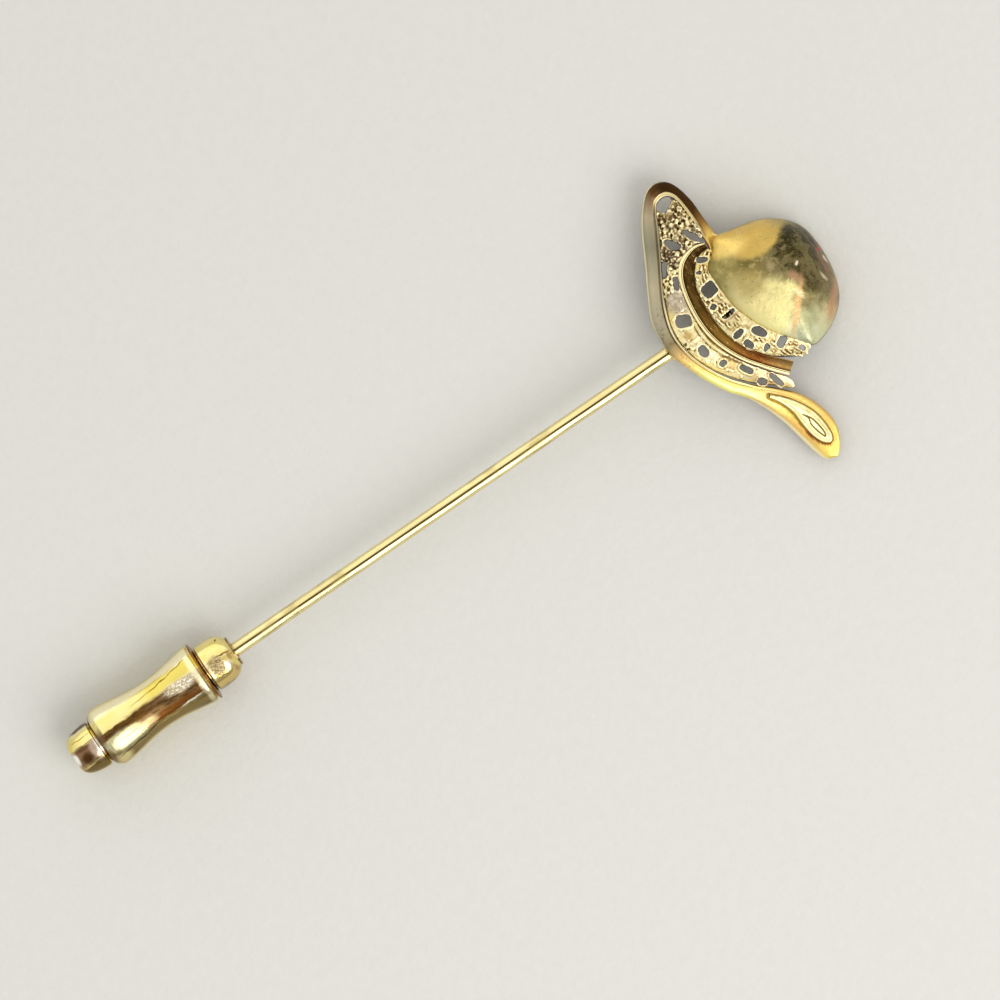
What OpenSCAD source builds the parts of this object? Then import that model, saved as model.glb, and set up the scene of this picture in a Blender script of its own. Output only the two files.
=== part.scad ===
// Stick pin with a cast head in the form of a picture hat, a wire stem and a pull-off clutch.
// The pin lies as put down: +X runs along the stem towards the crown, +Y to the left, +Z up.
// The origin is on the resting plane, under the middle of the pin's box.
// The head is drawn from where the stem leaves the brim's outer edge, which is x = 0, y = 0 there.

/* [Stem] */
// Diameter of the stem's wire
stem_d = 1; // [0.8:0.05:1.1]
// Length of bare stem between the brim's edge and the clutch's mouth
stem_bare = 36.5; // [25:0.5:45]
// Length of the tapered end inside the clutch, point included
taper_len = 10; // [8:0.5:11]
// Height of the stem's centre line above the resting plane at the brim's edge
stem_lift = 2.6; // [2.4:0.05:2.65]

/* [Clutch] */
// Overall length of the clutch
clutch_len = 13.5; // [13:0.1:15]
// Largest diameter of the barrel, at its lip and at its foot
barrel_d = 4.5; // [4.2:0.1:5]
// Smallest diameter of the barrel, at its waist
waist_d = 3.6; // [3.4:0.1:4]
// Diameter of the collar at the mouth
collar_d = 3.55; // [3.2:0.05:3.8]
// Diameter of the round knob at the closed end
knob_d = 3.5; // [3:0.1:3.8]
// Gap between the collar's neck and its socket in the barrel
neck_gap = 0.04; // [0.03:0.01:0.06]

/* [Hat] */
// Height of the crown's top above the resting plane
crown_top = 5.3; // [5.2:0.1:5.6]
// Wall of the hollow crown
crown_wall = 0.85; // [0.7:0.05:1]
// Depth of the lace from front to back
lace_wall = 0.68; // [0.6:0.02:0.7]
// Depth of the brim's rolled edge from front to back
edge_wall = 0.84; // [0.7:0.02:0.86]
// Depth of the ribbon from front to back
ribbon_wall = 0.88; // [0.7:0.02:0.9]
// Depth of the hatband from front to back
hatband_wall = 1; // [0.8:0.02:1.04]
// How far the bands of the hat run into their neighbours, where they are soldered
weld = 0.07; // [0.05:0.01:0.1]
// How far the grains stand out of the lace
grain_rise = 0.22; // [0.12:0.02:0.3]

/* [Hidden] */
gold = [0.86, 0.68, 0.33];
pale_gold = [0.9, 0.8, 0.55];
brown_gold = [0.5, 0.33, 0.14];
grey_gold = [0.72, 0.66, 0.5];
$fn = 48;

// Crown's outline, counted round the crown from the neck: x, y, and the height of its foot
crown_outline = [
    [7.38, 4.88, 2.4],
    [8.2, 4.72, 1.5],
    [9.5, 4.5, 0.7],
    [10.6, 4.2, 0.25],
    [11.6, 3.62, 0.04],
    [12.38, 2.9, 0],
    [12.86, 2.15, 0],
    [13.08, 1.3, 0],
    [13.15, 0, 0],
    [13.04, -1.3, 0],
    [12.76, -2.45, 0],
    [12.28, -3.45, 0.04],
    [11.5, -4.25, 0.3],
    [10.6, -4.8, 0.8],
    [9.6, -5.12, 1.6],
    [8.75, -5.22, 2.5],
    [8.3, -4.78, 3.1],
    [7.78, -4.08, 3.5],
    [7.1, -3.25, 3.7],
    [6.45, -2.2, 3.8],
    [5.96, -1.1, 3.85],
    [5.6, 0, 3.85],
    [5.48, 1.1, 3.85],
    [5.46, 2.2, 3.8],
    [5.5, 3.1, 3.6],
    [5.8, 3.62, 3.3],
    [6.25, 3.88, 2.9],
    [6.62, 4.35, 2.6],
    [6.95, 4.8, 2.45]
];
// Point over which the crown is highest
crown_centre = [9.2, -0.1];

// Rolled brim edge, from the neck round the left wing and the front to the tail's tip:
// x and y of its inner edge, x and y of its outer edge, height of its ridge, depth of its groove
brim_edge = [
    [6.5, 4.35, 7.52, 4.2, 3.2, 0],
    [6.58, 5.2, 7.45, 5.4, 3.15, 0.4],
    [6.78, 6.05, 7.42, 6.4, 3.05, 0.8],
    [6.95, 7.2, 7.4, 7.9, 2.9, 1],
    [6.87, 8.45, 7.12, 9.25, 2.75, 1],
    [6.5, 9.15, 6.65, 10.0, 2.65, 1],
    [5.9, 9.35, 5.9, 10.35, 2.6, 1],
    [5.3, 9.15, 5.05, 10.1, 2.6, 1],
    [4.86, 8.4, 4.1, 9.15, 2.7, 1],
    [4.3, 7.3, 3.3, 8.0, 2.9, 1],
    [3.25, 5.5, 2.2, 6.0, 3.3, 1],
    [2.12, 3.6, 1.05, 4.0, 3.75, 1],
    [1.5, 2.25, 0.32, 2.5, 3.98, 1],
    [1.12, 1.0, 0.08, 1.0, 4.05, 1],
    [1.12, -0.25, 0.12, -0.3, 4.05, 1],
    [1.37, -1.4, 0.55, -1.6, 4, 1],
    [1.94, -2.75, 1.13, -3.0, 3.8, 1],
    [2.62, -3.85, 1.98, -4.55, 3.4, 0.8],
    [3.25, -4.6, 2.56, -5.25, 3.1, 0.4],
    [3.95, -5.35, 3.06, -6.0, 2.8, 0.1],
    [4.95, -6.2, 3.58, -7.1, 2.4, 0],
    [6.08, -7.45, 4.06, -8.5, 2.05, 0],
    [6.85, -9.1, 4.44, -10.25, 1.8, 0],
    [7.02, -10.6, 4.72, -11.5, 1.7, 0],
    [6.6, -11.75, 5.05, -12.3, 1.6, 0],
    [6.05, -12.45, 5.6, -12.55, 1.5, 0]
];
// Section across the brim edge: share of the width from the inner edge, and height over the ridge
// at a plain place and at a grooved place
edge_section = [
    [0, -0.3, -0.3],
    [0.09, -0.08, -0.06],
    [0.16, -0.05, -0.26],
    [0.21, -0.04, -0.28],
    [0.3, -0.02, -0.1],
    [0.55, 0, 0.02],
    [0.8, -0.06, 0],
    [0.95, -0.25, -0.25],
    [1, -0.5, -0.5]
];

// Raised loop on the tail: x, y of its centre line
tail_loop = [
    [4.25, -6.45],
    [4.72, -7.2],
    [5.08, -8.2],
    [5.16, -9.3],
    [5.3, -10.3],
    [5.6, -11.05],
    [5.98, -11.35],
    [6.22, -11.0],
    [6.24, -10.0],
    [6.02, -8.95],
    [5.45, -7.85],
    [4.85, -7.05],
    [4.25, -6.45]
];
// Small loop inside it
tail_eye = [
    [5.42, -8.75],
    [5.76, -9.25],
    [5.95, -10.2],
    [5.92, -10.85],
    [5.62, -10.6],
    [5.5, -9.6],
    [5.42, -8.75]
];
loop_wire = 0.24;

// Hatband: x, y, z of its edge against the crown, then of its edge against the ribbon
hatband_rows = [
    [6.58, 4.2, 3.75, 6.36, 4.48, 3.65],
    [6.1, 3.8, 4.0, 5.68, 4.42, 3.78],
    [5.58, 3.42, 4.25, 5.1, 4.06, 3.95],
    [5.46, 2.9, 4.45, 4.58, 3.44, 4.08],
    [5.42, 2.2, 4.55, 4.2, 2.66, 4.2],
    [5.42, 1.5, 4.6, 4.0, 1.7, 4.26],
    [5.46, 0.6, 4.62, 3.94, 0.7, 4.28],
    [5.62, -0.3, 4.62, 3.98, -0.4, 4.28],
    [5.94, -1.2, 4.62, 4.18, -1.5, 4.26],
    [6.34, -2.1, 4.6, 4.62, -2.58, 4.2],
    [6.88, -3.0, 4.56, 5.26, -3.5, 4.1],
    [7.5, -3.8, 4.5, 6.0, -4.3, 3.95],
    [8.08, -4.5, 4.4, 6.95, -4.95, 3.8],
    [8.42, -5.0, 4.28, 7.5, -5.28, 3.72],
    [8.3, -5.26, 4.18, 7.85, -5.4, 3.85]
];
// Ribbon: x, y, z of its edge against the hatband, then of its rim against the lace
ribbon_rows = [
    [6.42, 4.54, 3.6, 6.42, 4.9, 3.5],
    [5.72, 4.5, 3.7, 5.75, 5.12, 3.58],
    [5.14, 4.14, 3.84, 4.95, 5.05, 3.7],
    [4.62, 3.54, 3.98, 4.25, 4.74, 3.82],
    [4.24, 2.8, 4.08, 3.64, 4.0, 3.95],
    [4.02, 2.0, 4.15, 3.27, 3.0, 4.04],
    [3.92, 1.2, 4.18, 3.02, 1.75, 4.1],
    [3.92, 0.3, 4.2, 2.92, 0.4, 4.12],
    [4.02, -0.8, 4.18, 3.05, -0.9, 4.1],
    [4.3, -1.9, 4.14, 3.47, -2.18, 4.02],
    [4.8, -2.95, 4.06, 4.08, -3.36, 3.86],
    [5.5, -3.92, 3.94, 4.8, -4.35, 3.65],
    [6.28, -4.7, 3.78, 5.45, -5.2, 3.42],
    [6.9, -5.38, 3.6, 6.12, -5.96, 3.2]
];
// Lace: x, y, z of its edge against the brim's upper edge and the ribbon, then against the brim's front
lace_rows = [
    [6.38, 9.2, 2.35, 5.8, 9.26, 2.3],
    [6.72, 8.6, 2.5, 5.2, 8.98, 2.35],
    [6.86, 7.6, 2.7, 4.78, 8.3, 2.42],
    [6.78, 6.6, 2.95, 4.5, 7.7, 2.52],
    [6.6, 5.75, 3.2, 4.28, 7.25, 2.6],
    [6.2, 5.24, 3.4, 4.0, 6.76, 2.72],
    [5.75, 5.24, 3.45, 3.76, 6.33, 2.82],
    [5.3, 5.22, 3.52, 3.5, 5.9, 2.94],
    [4.85, 5.12, 3.6, 3.24, 5.45, 3.06],
    [4.4, 4.94, 3.68, 2.98, 5.0, 3.18],
    [4.0, 4.62, 3.77, 2.7, 4.55, 3.3],
    [3.58, 4.08, 3.88, 2.34, 3.92, 3.48],
    [3.19, 3.02, 3.98, 1.83, 2.82, 3.72],
    [2.95, 1.82, 4.04, 1.42, 1.82, 3.84],
    [2.84, 0.6, 4.06, 1.22, 0.8, 3.88],
    [2.9, -0.6, 4.05, 1.25, -0.4, 3.88],
    [3.2, -1.72, 3.98, 1.5, -1.5, 3.82],
    [3.62, -2.74, 3.84, 1.98, -2.6, 3.68],
    [4.12, -3.62, 3.66, 2.52, -3.46, 3.45],
    [4.74, -4.5, 3.42, 3.14, -4.26, 3.15],
    [5.32, -5.22, 3.18, 3.78, -4.96, 2.88],
    [5.82, -5.84, 2.96, 4.6, -5.66, 2.62],
    [6.08, -6.42, 2.72, 5.36, -6.3, 2.45],
    [6.0, -6.86, 2.52, 5.8, -6.78, 2.42]
];
// Sections across the hatband, the ribbon and the lace: share of the width, and height over the edges
hatband_section = [[0, -0.2], [0.06, 0], [0.35, 0.08], [0.7, 0.08], [0.94, 0.02], [1, -0.16]];
ribbon_section = [[0, 0], [0.2, -0.14], [0.45, -0.2], [0.7, -0.12], [0.82, 0.04], [0.93, 0.1], [1, -0.1]];
lace_section = [[0, -0.12], [0.1, 0], [0.4, 0.06], [0.6, 0.06], [0.9, 0], [1, -0.12]];

// Holes cut through the hatband and the lace: x, y, size along x, size along y, turn, corner radius
hatband_holes = [
    [5.6, 4.04, 0.75, 0.5, -28, 0.2],
    [4.92, 3.44, 0.37, 0.25, -20, 0.1],
    [4.84, 2.06, 1, 0.95, 6, 0.16],
    [4.4, 0.9, 0.42, 0.44, 0, 0.18],
    [5.0, -0.12, 0.95, 0.34, 4, 0.1],
    [4.82, -1.6, 0.85, 0.5, 22, 0.16],
    [6.06, -2.3, 0.55, 1.1, 32, 0.2],
    [5.06, -2.6, 0.5, 0.72, 30, 0.18],
    [5.86, -3.5, 0.62, 0.42, 25, 0.16],
    [6.96, -3.75, 0.85, 0.6, 30, 0.22],
    [7.92, -4.9, 0.4, 0.48, 35, 0.18]
];
lace_holes = [
    [5.72, 8.72, 1.25, 0.75, -12, 0.3],
    [6.0, 5.85, 0.5, 1.3, 32, 0.22],
    [4.55, 6.05, 0.62, 1.1, 30, 0.25],
    [3.3, 5.05, 0.6, 1.05, -38, 0.25],
    [3.2, 3.7, 0.42, 0.95, -26, 0.18],
    [2.15, 1.25, 1.1, 0.95, -18, 0.34],
    [2.15, -1.25, 0.68, 0.95, 4, 0.28],
    [2.78, -2.7, 0.52, 0.46, 20, 0.18],
    [3.9, -3.98, 0.5, 0.85, 32, 0.2],
    [4.36, -5.28, 0.42, 0.7, 40, 0.18],
    [5.24, -5.72, 0.36, 1.15, 14, 0.15]
];

// Places along the stem's line, measured from the brim's edge and growing towards the crown
mouth_at = -stem_bare;
end_at = mouth_at - clutch_len;
point_at = mouth_at - taper_len;
// Behind the head the wire is hammered into a flat tongue, for the solder
tongue_at = 0.1;
tongue_end_at = 5.3;
tongue_w = 1.4;
tongue_t = 0.8;
bore_r = stem_d / 2 + 0.06;
// Lengths along the clutch, from its closed end
knob_len = 2.15;
foot_at = 2.95;
lip_at = 10.7;
collar_at = 11.15;
socket_depth = 2.2;
neck_r = 1.32;
// Rounding of the knob's end, of the collar's mouth and of its lower edge
knob_edge = 0.28;
mouth_edge = 0.7;
collar_edge = 0.15;
// Power of the sine along the waist: above one, its ends run out flat
waist_flow = 1.3;
// The foot of the barrel touches the resting plane, and the stem climbs from there to the brim
foot_x = end_at + foot_at;
tilt = asin((stem_lift - barrel_d / 2) / -foot_x);

// Curve through the rows of a table, with a number of steps from each row to the next
function between(a, b, c, d, t) =
    (2 * b + (c - a) * t + (2 * a - 5 * b + 4 * c - d) * t * t + (3 * b - a - 3 * c + d) * t * t * t) / 2;
function smooth(rows, steps) = let (last = len(rows) - 1) [
    for (i = [0 : last - 1])
        for (k = [0 : steps - 1])
            between(rows[max(i - 1, 0)], rows[i], rows[i + 1], rows[min(i + 2, last)], k / steps),
    rows[last]
];
function smooth_loop(rows, steps) = let (n = len(rows)) [
    for (i = [0 : n - 1])
        for (k = [0 : steps - 1])
            between(rows[(i + n - 1) % n], rows[i], rows[(i + 1) % n], rows[(i + 2) % n], k / steps)
];

// How near a band's edge must be to its neighbour's line to be joined to it
reach_of_weld = 0.3;
// Power of the dome: two is round, and more is flatter on top with a steeper foot
dome_power = 2.6;
dome_shares = [0.15, 0.35, 0.55, 0.72, 0.85, 0.94, 0.985, 1];
// How deep a grain's middle is sunk in its band, and how far it may reach over a hole's edge
grain_sink = 0.06;
grain_overhang = 0.05;

// Finished curves: each band is joined along the line of the piece before it
crown_line = smooth_loop(crown_outline, 2);
edge_line = smooth(brim_edge, 2);
crown_seam = [for (p = crown_line) [p[0], p[1]]];
brim_seam = [for (row = edge_line) [row[0], row[1]]];
hatband_band = band(hatband_rows, crown_seam, []);
hatband_seam = [for (edges = hatband_band) [edges[1][0], edges[1][1]]];
ribbon_band = band(ribbon_rows, hatband_seam, []);
rim_seam = [for (edges = ribbon_band) [edges[1][0], edges[1][1]]];
lace_band = band(lace_rows, concat(rim_seam, brim_seam), brim_seam);

// The pin's box, which sets where the origin is
y_left = max([for (row = edge_line) max(row[1], row[3])]);
y_right = min([for (row = edge_line) min(row[1], row[3])]);
x_crown = max([for (row = crown_line) row[0]]);
x_end = foot_x - foot_at * cos(tilt) - (knob_d / 2 - knob_edge) * sin(tilt);
origin_x = (x_crown + x_end) / 2;
origin_y = (y_left + y_right) / 2;

// Moves what is drawn in the head's own place to the pin's place
module in_place() {
    translate([-origin_x, -origin_y, 0]) children();
}

// Turns a profile of radius and place along the stem into a solid on the stem's line
module on_stem() {
    in_place() translate([foot_x, 0, barrel_d / 2]) rotate([0, 90 - tilt, 0]) children();
}
function along(at) = at - foot_x;

// Solid through a row of rings, each with its front points first and then its two back points
module strip(rings) {
    n = len(rings[0]);
    last = (len(rings) - 1) * n;
    sides = [
        for (i = [0 : len(rings) - 2])
            for (j = [0 : n - 1])
                let (a = i * n + j, b = i * n + (j + 1) % n)
                    each [[a, a + n, b], [b, a + n, b + n]]
    ];
    caps = [
        for (j = [0 : n - 3])
            each [[n - 1, j, j + 1], [last + n - 1, last + j + 1, last + j]]
    ];
    polyhedron(points = [for (ring = rings) each ring], faces = concat(sides, caps));
}

// Ring across a strip: front points by the section, and a flat back a wall's depth behind the edges
function ring(a, b, section, wall) = concat(
    [for (s = section) a + (b - a) * s[0] + [0, 0, s[1]]],
    [b - [0, 0, wall], a - [0, 0, wall]]
);

// Nearest place to a point on a line of points
function nearest_on(p, line) = let (
    spots = [
        for (i = [0 : len(line) - 2])
            let (a = line[i], d = line[i + 1] - a)
                a + d * max(0, min(1, (p - a) * d / (d * d)))
    ],
    gaps = [for (spot = spots) norm(spot - p)]
) spots[[for (i = [0 : len(gaps) - 1]) if (gaps[i] == min(gaps)) i][0]];

// Edge point of a strip, run a weld's depth over its neighbour's line where that line is near
function joined(p, line, inward) = let (
    flat = [p[0], p[1]],
    spot = nearest_on(flat, line),
    way = [inward[0], inward[1]] - spot,
    place = spot - way * weld / norm(way)
) norm(flat - spot) < reach_of_weld ? [place[0], place[1], p[2]] : p;

// Rows of a band, smoothed, as pairs of edge points, each joined to the line of its neighbour
function band(rows, line_a, line_b) = [
    for (row = smooth(rows, 2)) let (
        a = [row[0], row[1], row[2]],
        b = [row[3], row[4], row[5]]
    ) [len(line_a) > 0 ? joined(a, line_a, b) : a, len(line_b) > 0 ? joined(b, line_b, a) : b]
];
module band_solid(band, section, wall) {
    strip([for (edges = band) ring(edges[0], edges[1], section, wall)]);
}

// Ring across the brim edge, whose section runs from plain to grooved
function edge_ring(row) = let (
    a = [row[0], row[1], row[4]],
    b = [row[2], row[3], row[4]],
    section = [for (s = edge_section) [s[0], s[1] + (s[2] - s[1]) * row[5]]]
) ring(a, b, section, edge_wall);

// Loop of points on the dome at a share of the way from its top to its outline, pulled in by an inset
function dome_loop(share, top, inset) = [
    for (p = crown_line) let (
        flat = [p[0], p[1]] - crown_centre,
        reach = 1 - inset / norm(flat),
        place = crown_centre + flat * share * reach
    ) [place[0], place[1], p[2] + (top - p[2]) * sqrt(max(0, 1 - pow(share, dome_power)))]
];

// Hollow crown: loops from the back of the dome's top, down its inside, round its foot and up its front
module crown() {
    n = len(crown_line);
    inside = [for (s = dome_shares) dome_loop(s, crown_top - crown_wall, crown_wall)];
    front = [for (i = [len(dome_shares) - 1 : -1 : 0]) dome_loop(dome_shares[i], crown_top, 0)];
    loops = concat(inside, front);
    last = (len(loops) - 1) * n;
    back_point = len(loops) * n;
    front_point = back_point + 1;
    tips = [
        [crown_centre[0], crown_centre[1], crown_top - crown_wall],
        [crown_centre[0], crown_centre[1], crown_top]
    ];
    sides = [
        for (i = [0 : len(loops) - 2])
            for (j = [0 : n - 1])
                let (a = i * n + j, b = i * n + (j + 1) % n)
                    each [[a, b, a + n], [b, b + n, a + n]]
    ];
    tops = [
        for (j = [0 : n - 1])
            let (k = (j + 1) % n)
                each [[back_point, k, j], [front_point, last + j, last + k]]
    ];
    polyhedron(points = concat([for (loop = loops) each loop], tips), faces = concat(sides, tops));
}

// Height of the tail's front at a place, from the nearest row of the brim edge
function tail_height(x, y) = let (
    gaps = [for (row = edge_line) norm([(row[0] + row[2]) / 2 - x, (row[1] + row[3]) / 2 - y])],
    near = [for (i = [0 : len(gaps) - 1]) if (gaps[i] == min(gaps)) i][0]
) edge_line[near][4];

// Wire laid on the tail along a closed line
module laid_wire(line) {
    path = smooth(line, 2);
    for (i = [0 : len(path) - 2])
        hull() {
            for (p = [path[i], path[i + 1]])
                translate([p[0], p[1], tail_height(p[0], p[1])]) sphere(d = loop_wire, $fn = 8);
        }
}

// Rolled brim edge, which runs on from the neck and ends in the tail with its raised loops
module brim() {
    strip([for (row = edge_line) edge_ring(row)]);
    laid_wire(tail_loop);
    laid_wire(tail_eye);
}

// Hole with rounded corners, cut from front to back
module hole(row) {
    translate([row[0], row[1], 0]) rotate([0, 0, row[4]]) linear_extrude(height = 8)
        hull() {
            for (sx = [-1, 1])
                for (sy = [-1, 1])
                    translate([sx * (row[2] / 2 - row[5]), sy * (row[3] / 2 - row[5])])
                        circle(r = row[5], $fn = 8);
        }
}

// Grains over a band, thinned where its rows crowd, and kept off the holes and the edges
module grains(band, holes, stride, across, size) {
    for (i = [1 : len(band) - 2])
        for (j = [0 : across - 1]) {
            shake = rands(-1, 1, 2, 17 * i + 5 * j);
            share = (j + 0.5 + 0.25 * shake[0]) / across;
            a = band[i][0];
            b = band[i][1];
            place = a + (b - a) * share;
            next = band[i + 1][0] + (band[i + 1][1] - band[i + 1][0]) * share;
            every = ceil(stride / norm(next - place));
            near = min([for (h = holes) norm([h[0] - place[0], h[1] - place[1]]) - max(h[2], h[3]) / 2]);
            r = size * (1 + 0.25 * shake[1]);
            to_edge = norm(b - a) * min(share, 1 - share);
            if ((i + j) % every == 0 && near > -grain_overhang && to_edge > r)
                translate(place) scale([1, 1, (grain_rise + grain_sink) / r]) sphere(r = r, $fn = 6);
        }
}

module hatband() {
    color(pale_gold) difference() {
        union() {
            band_solid(hatband_band, hatband_section, hatband_wall);
            grains(hatband_band, hatband_holes, 0.48, 3, 0.2);
        }
        for (row = hatband_holes) hole(row);
    }
}

module ribbon() {
    color(brown_gold) band_solid(ribbon_band, ribbon_section, ribbon_wall);
}

module brim_lace() {
    color(pale_gold) difference() {
        union() {
            band_solid(lace_band, lace_section, lace_wall);
            grains(lace_band, lace_holes, 0.58, 4, 0.26);
        }
        for (row = lace_holes) hole(row);
    }
}

// Hat: crown, brim, hatband, ribbon and lace are soldered into one piece of metal
module hat() {
    color(gold) in_place() {
        crown();
        brim();
        hatband();
        ribbon();
        brim_lace();
    }
}

// Wire stem: flat tongue behind the head, bare round wire, long taper and point
module stem() {
    r = stem_d / 2;
    color(grey_gold) on_stem() {
        rotate_extrude() polygon([
            [0, along(point_at)],
            [r * 0.35, along(point_at + 2.5)],
            [r * 0.92, along(mouth_at - 0.6)],
            [r, along(mouth_at + 0.1)],
            [r, along(tongue_at)],
            [r * 0.7, along(tongue_at + 0.2)],
            [0, along(tongue_at + 0.2)]
        ]);
        translate([-r, -tongue_w / 2, along(tongue_at)])
            cube([tongue_t, tongue_w, tongue_end_at - tongue_at]);
    }
}

// Half-section of a round bar from its low end to its high end, with a rounding at each end
module bar_section(r, low, high, low_edge, high_edge) {
    translate([0, low + low_edge]) square([r, high - low - low_edge - high_edge]);
    translate([0, low]) square([r - low_edge, low_edge]);
    translate([0, high - high_edge]) square([r - high_edge, high_edge]);
    translate([r - low_edge, low + low_edge]) circle(r = low_edge);
    translate([r - high_edge, high - high_edge]) circle(r = high_edge);
}

// Collar at the clutch's mouth, with the neck that goes into the barrel
module clutch_collar() {
    base = along(end_at);
    neck_low = base + collar_at - socket_depth + neck_gap;
    color(gold) on_stem() rotate_extrude() difference() {
        union() {
            translate([0, neck_low]) square([neck_r, socket_depth]);
            bar_section(collar_d / 2, base + collar_at, base + clutch_len, collar_edge, mouth_edge);
        }
        translate([-collar_d, base]) square([collar_d + bore_r, clutch_len + 1]);
    }
}

// Waisted barrel with its knob: blind bore for the stem, socket for the collar's neck
module clutch_barrel() {
    r = barrel_d / 2;
    knob_r = knob_d / 2;
    base = along(end_at);
    waist_len = lip_at - foot_at - 0.35;
    waist = [
        for (t = [0 : 1 / 14 : 1.001])
            [r - (r - waist_d / 2) * pow(sin(180 * t), waist_flow), base + foot_at + 0.25 + waist_len * t]
    ];
    shoulder = [
        [knob_r, base + knob_len],
        [r - 0.32, base + knob_len + 0.08],
        [r - 0.1, base + foot_at - 0.4],
        [r, base + foot_at]
    ];
    lip = [[r - 0.06, base + lip_at], [0, base + lip_at], [0, base + knob_len]];
    color(gold) on_stem() rotate_extrude() difference() {
        union() {
            bar_section(knob_r, base, base + knob_len + collar_edge, knob_edge, collar_edge);
            polygon(concat(shoulder, waist, lip));
        }
        translate([-r, base + foot_at]) square([r + bore_r, clutch_len]);
        translate([-r, base + collar_at - socket_depth]) square([r + neck_r + neck_gap, clutch_len]);
    }
}

hat();
stem();
clutch_collar();
clutch_barrel();
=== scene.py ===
"""Stick pin with a picture-hat head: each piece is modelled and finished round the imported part."""

import math
import random
from collections import namedtuple

import bpy
import numpy as np
from bpy.props import FloatProperty, FloatVectorProperty, PointerProperty
from bpy.types import Operator, Panel, PropertyGroup
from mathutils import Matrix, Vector


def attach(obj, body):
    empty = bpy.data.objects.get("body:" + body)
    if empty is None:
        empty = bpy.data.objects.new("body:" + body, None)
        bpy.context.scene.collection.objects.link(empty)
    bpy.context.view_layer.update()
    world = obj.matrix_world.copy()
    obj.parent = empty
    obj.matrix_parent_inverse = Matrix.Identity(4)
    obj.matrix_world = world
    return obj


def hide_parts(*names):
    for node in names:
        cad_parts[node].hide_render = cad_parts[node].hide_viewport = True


bl_info = {
    "name": "Picture-hat stick pin",
    "version": (1, 0, 0),
    "blender": (4, 5, 0),
    "location": "View3D > Sidebar > Stick Pin",
    "description": "Models a stick pin with a picture-hat head, piece by piece",
    "category": "Object",
}

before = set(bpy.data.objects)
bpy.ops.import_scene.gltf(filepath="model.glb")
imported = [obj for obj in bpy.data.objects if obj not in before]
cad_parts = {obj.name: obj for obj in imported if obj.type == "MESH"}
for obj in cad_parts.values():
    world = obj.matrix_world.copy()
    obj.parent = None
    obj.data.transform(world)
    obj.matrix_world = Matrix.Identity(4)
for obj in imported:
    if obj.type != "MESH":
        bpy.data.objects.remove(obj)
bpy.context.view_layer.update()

# Pieces are modelled in millimetres and brought to metres when they are finished
MM = 0.001
# The head is drawn from where the stem leaves the brim: x towards the crown, y left, z up
HEAD_PLACE = Vector((18.4304, 1.1, 0))
# The stem and the clutch are drawn along z, from the foot of the barrel on the resting plane
FOOT_X = -47.05
FOOT_R = 2.25
STEM_LIFT = 2.6
STEM_TILT = math.asin((STEM_LIFT - FOOT_R) / -FOOT_X)
# Points nearer than this are one point
JOIN = 1e-4
# Length of the stem's taper inside the clutch
TAPER = 10
# Radius of the clutch's bore, of the neck of its collar, and where that neck ends in the barrel
BORE_R = 0.56
NECK_R = 1.32
NECK_END = 6.0
# Middle of the photograph's view on the floor, in metres, and its turn about the upright
VIEW_CENTRE = (0.00307, -0.0007)
VIEW_TURN = math.radians(-34.36)
SENSOR = 36


# Tables of the head

OutlinePoint = namedtuple("OutlinePoint", "x y foot")
CROWN_OUTLINE = [
    OutlinePoint(*row)
    for row in (
        (7.38, 4.88, 2.4), (8.2, 4.72, 1.5), (9.5, 4.5, 0.7), (10.6, 4.2, 0.25), (11.6, 3.62, 0.04),
        (12.38, 2.9, 0), (12.86, 2.15, 0), (13.08, 1.3, 0), (13.15, 0, 0), (13.04, -1.3, 0),
        (12.76, -2.45, 0), (12.28, -3.45, 0.04), (11.5, -4.25, 0.3), (10.6, -4.8, 0.8),
        (9.6, -5.12, 1.6), (8.75, -5.22, 2.5), (8.3, -4.78, 3.1), (7.78, -4.08, 3.5),
        (7.1, -3.25, 3.7), (6.45, -2.2, 3.8), (5.96, -1.1, 3.85), (5.6, 0, 3.85), (5.48, 1.1, 3.85),
        (5.46, 2.2, 3.8), (5.5, 3.1, 3.6), (5.8, 3.62, 3.3), (6.25, 3.88, 2.9), (6.62, 4.35, 2.6),
        (6.95, 4.8, 2.45),
    )
]
# How far the neck is drawn out over the brim's edge, and how far it sinks there
NECK_LOOPS = ((0.75, 0.62), (0.5, 0.54), (0.26, 0.38), (0.1, 0.18))
CROWN_CENTRE = Vector((9.2, -0.1))
DOME_POWER = 2.6

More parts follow.
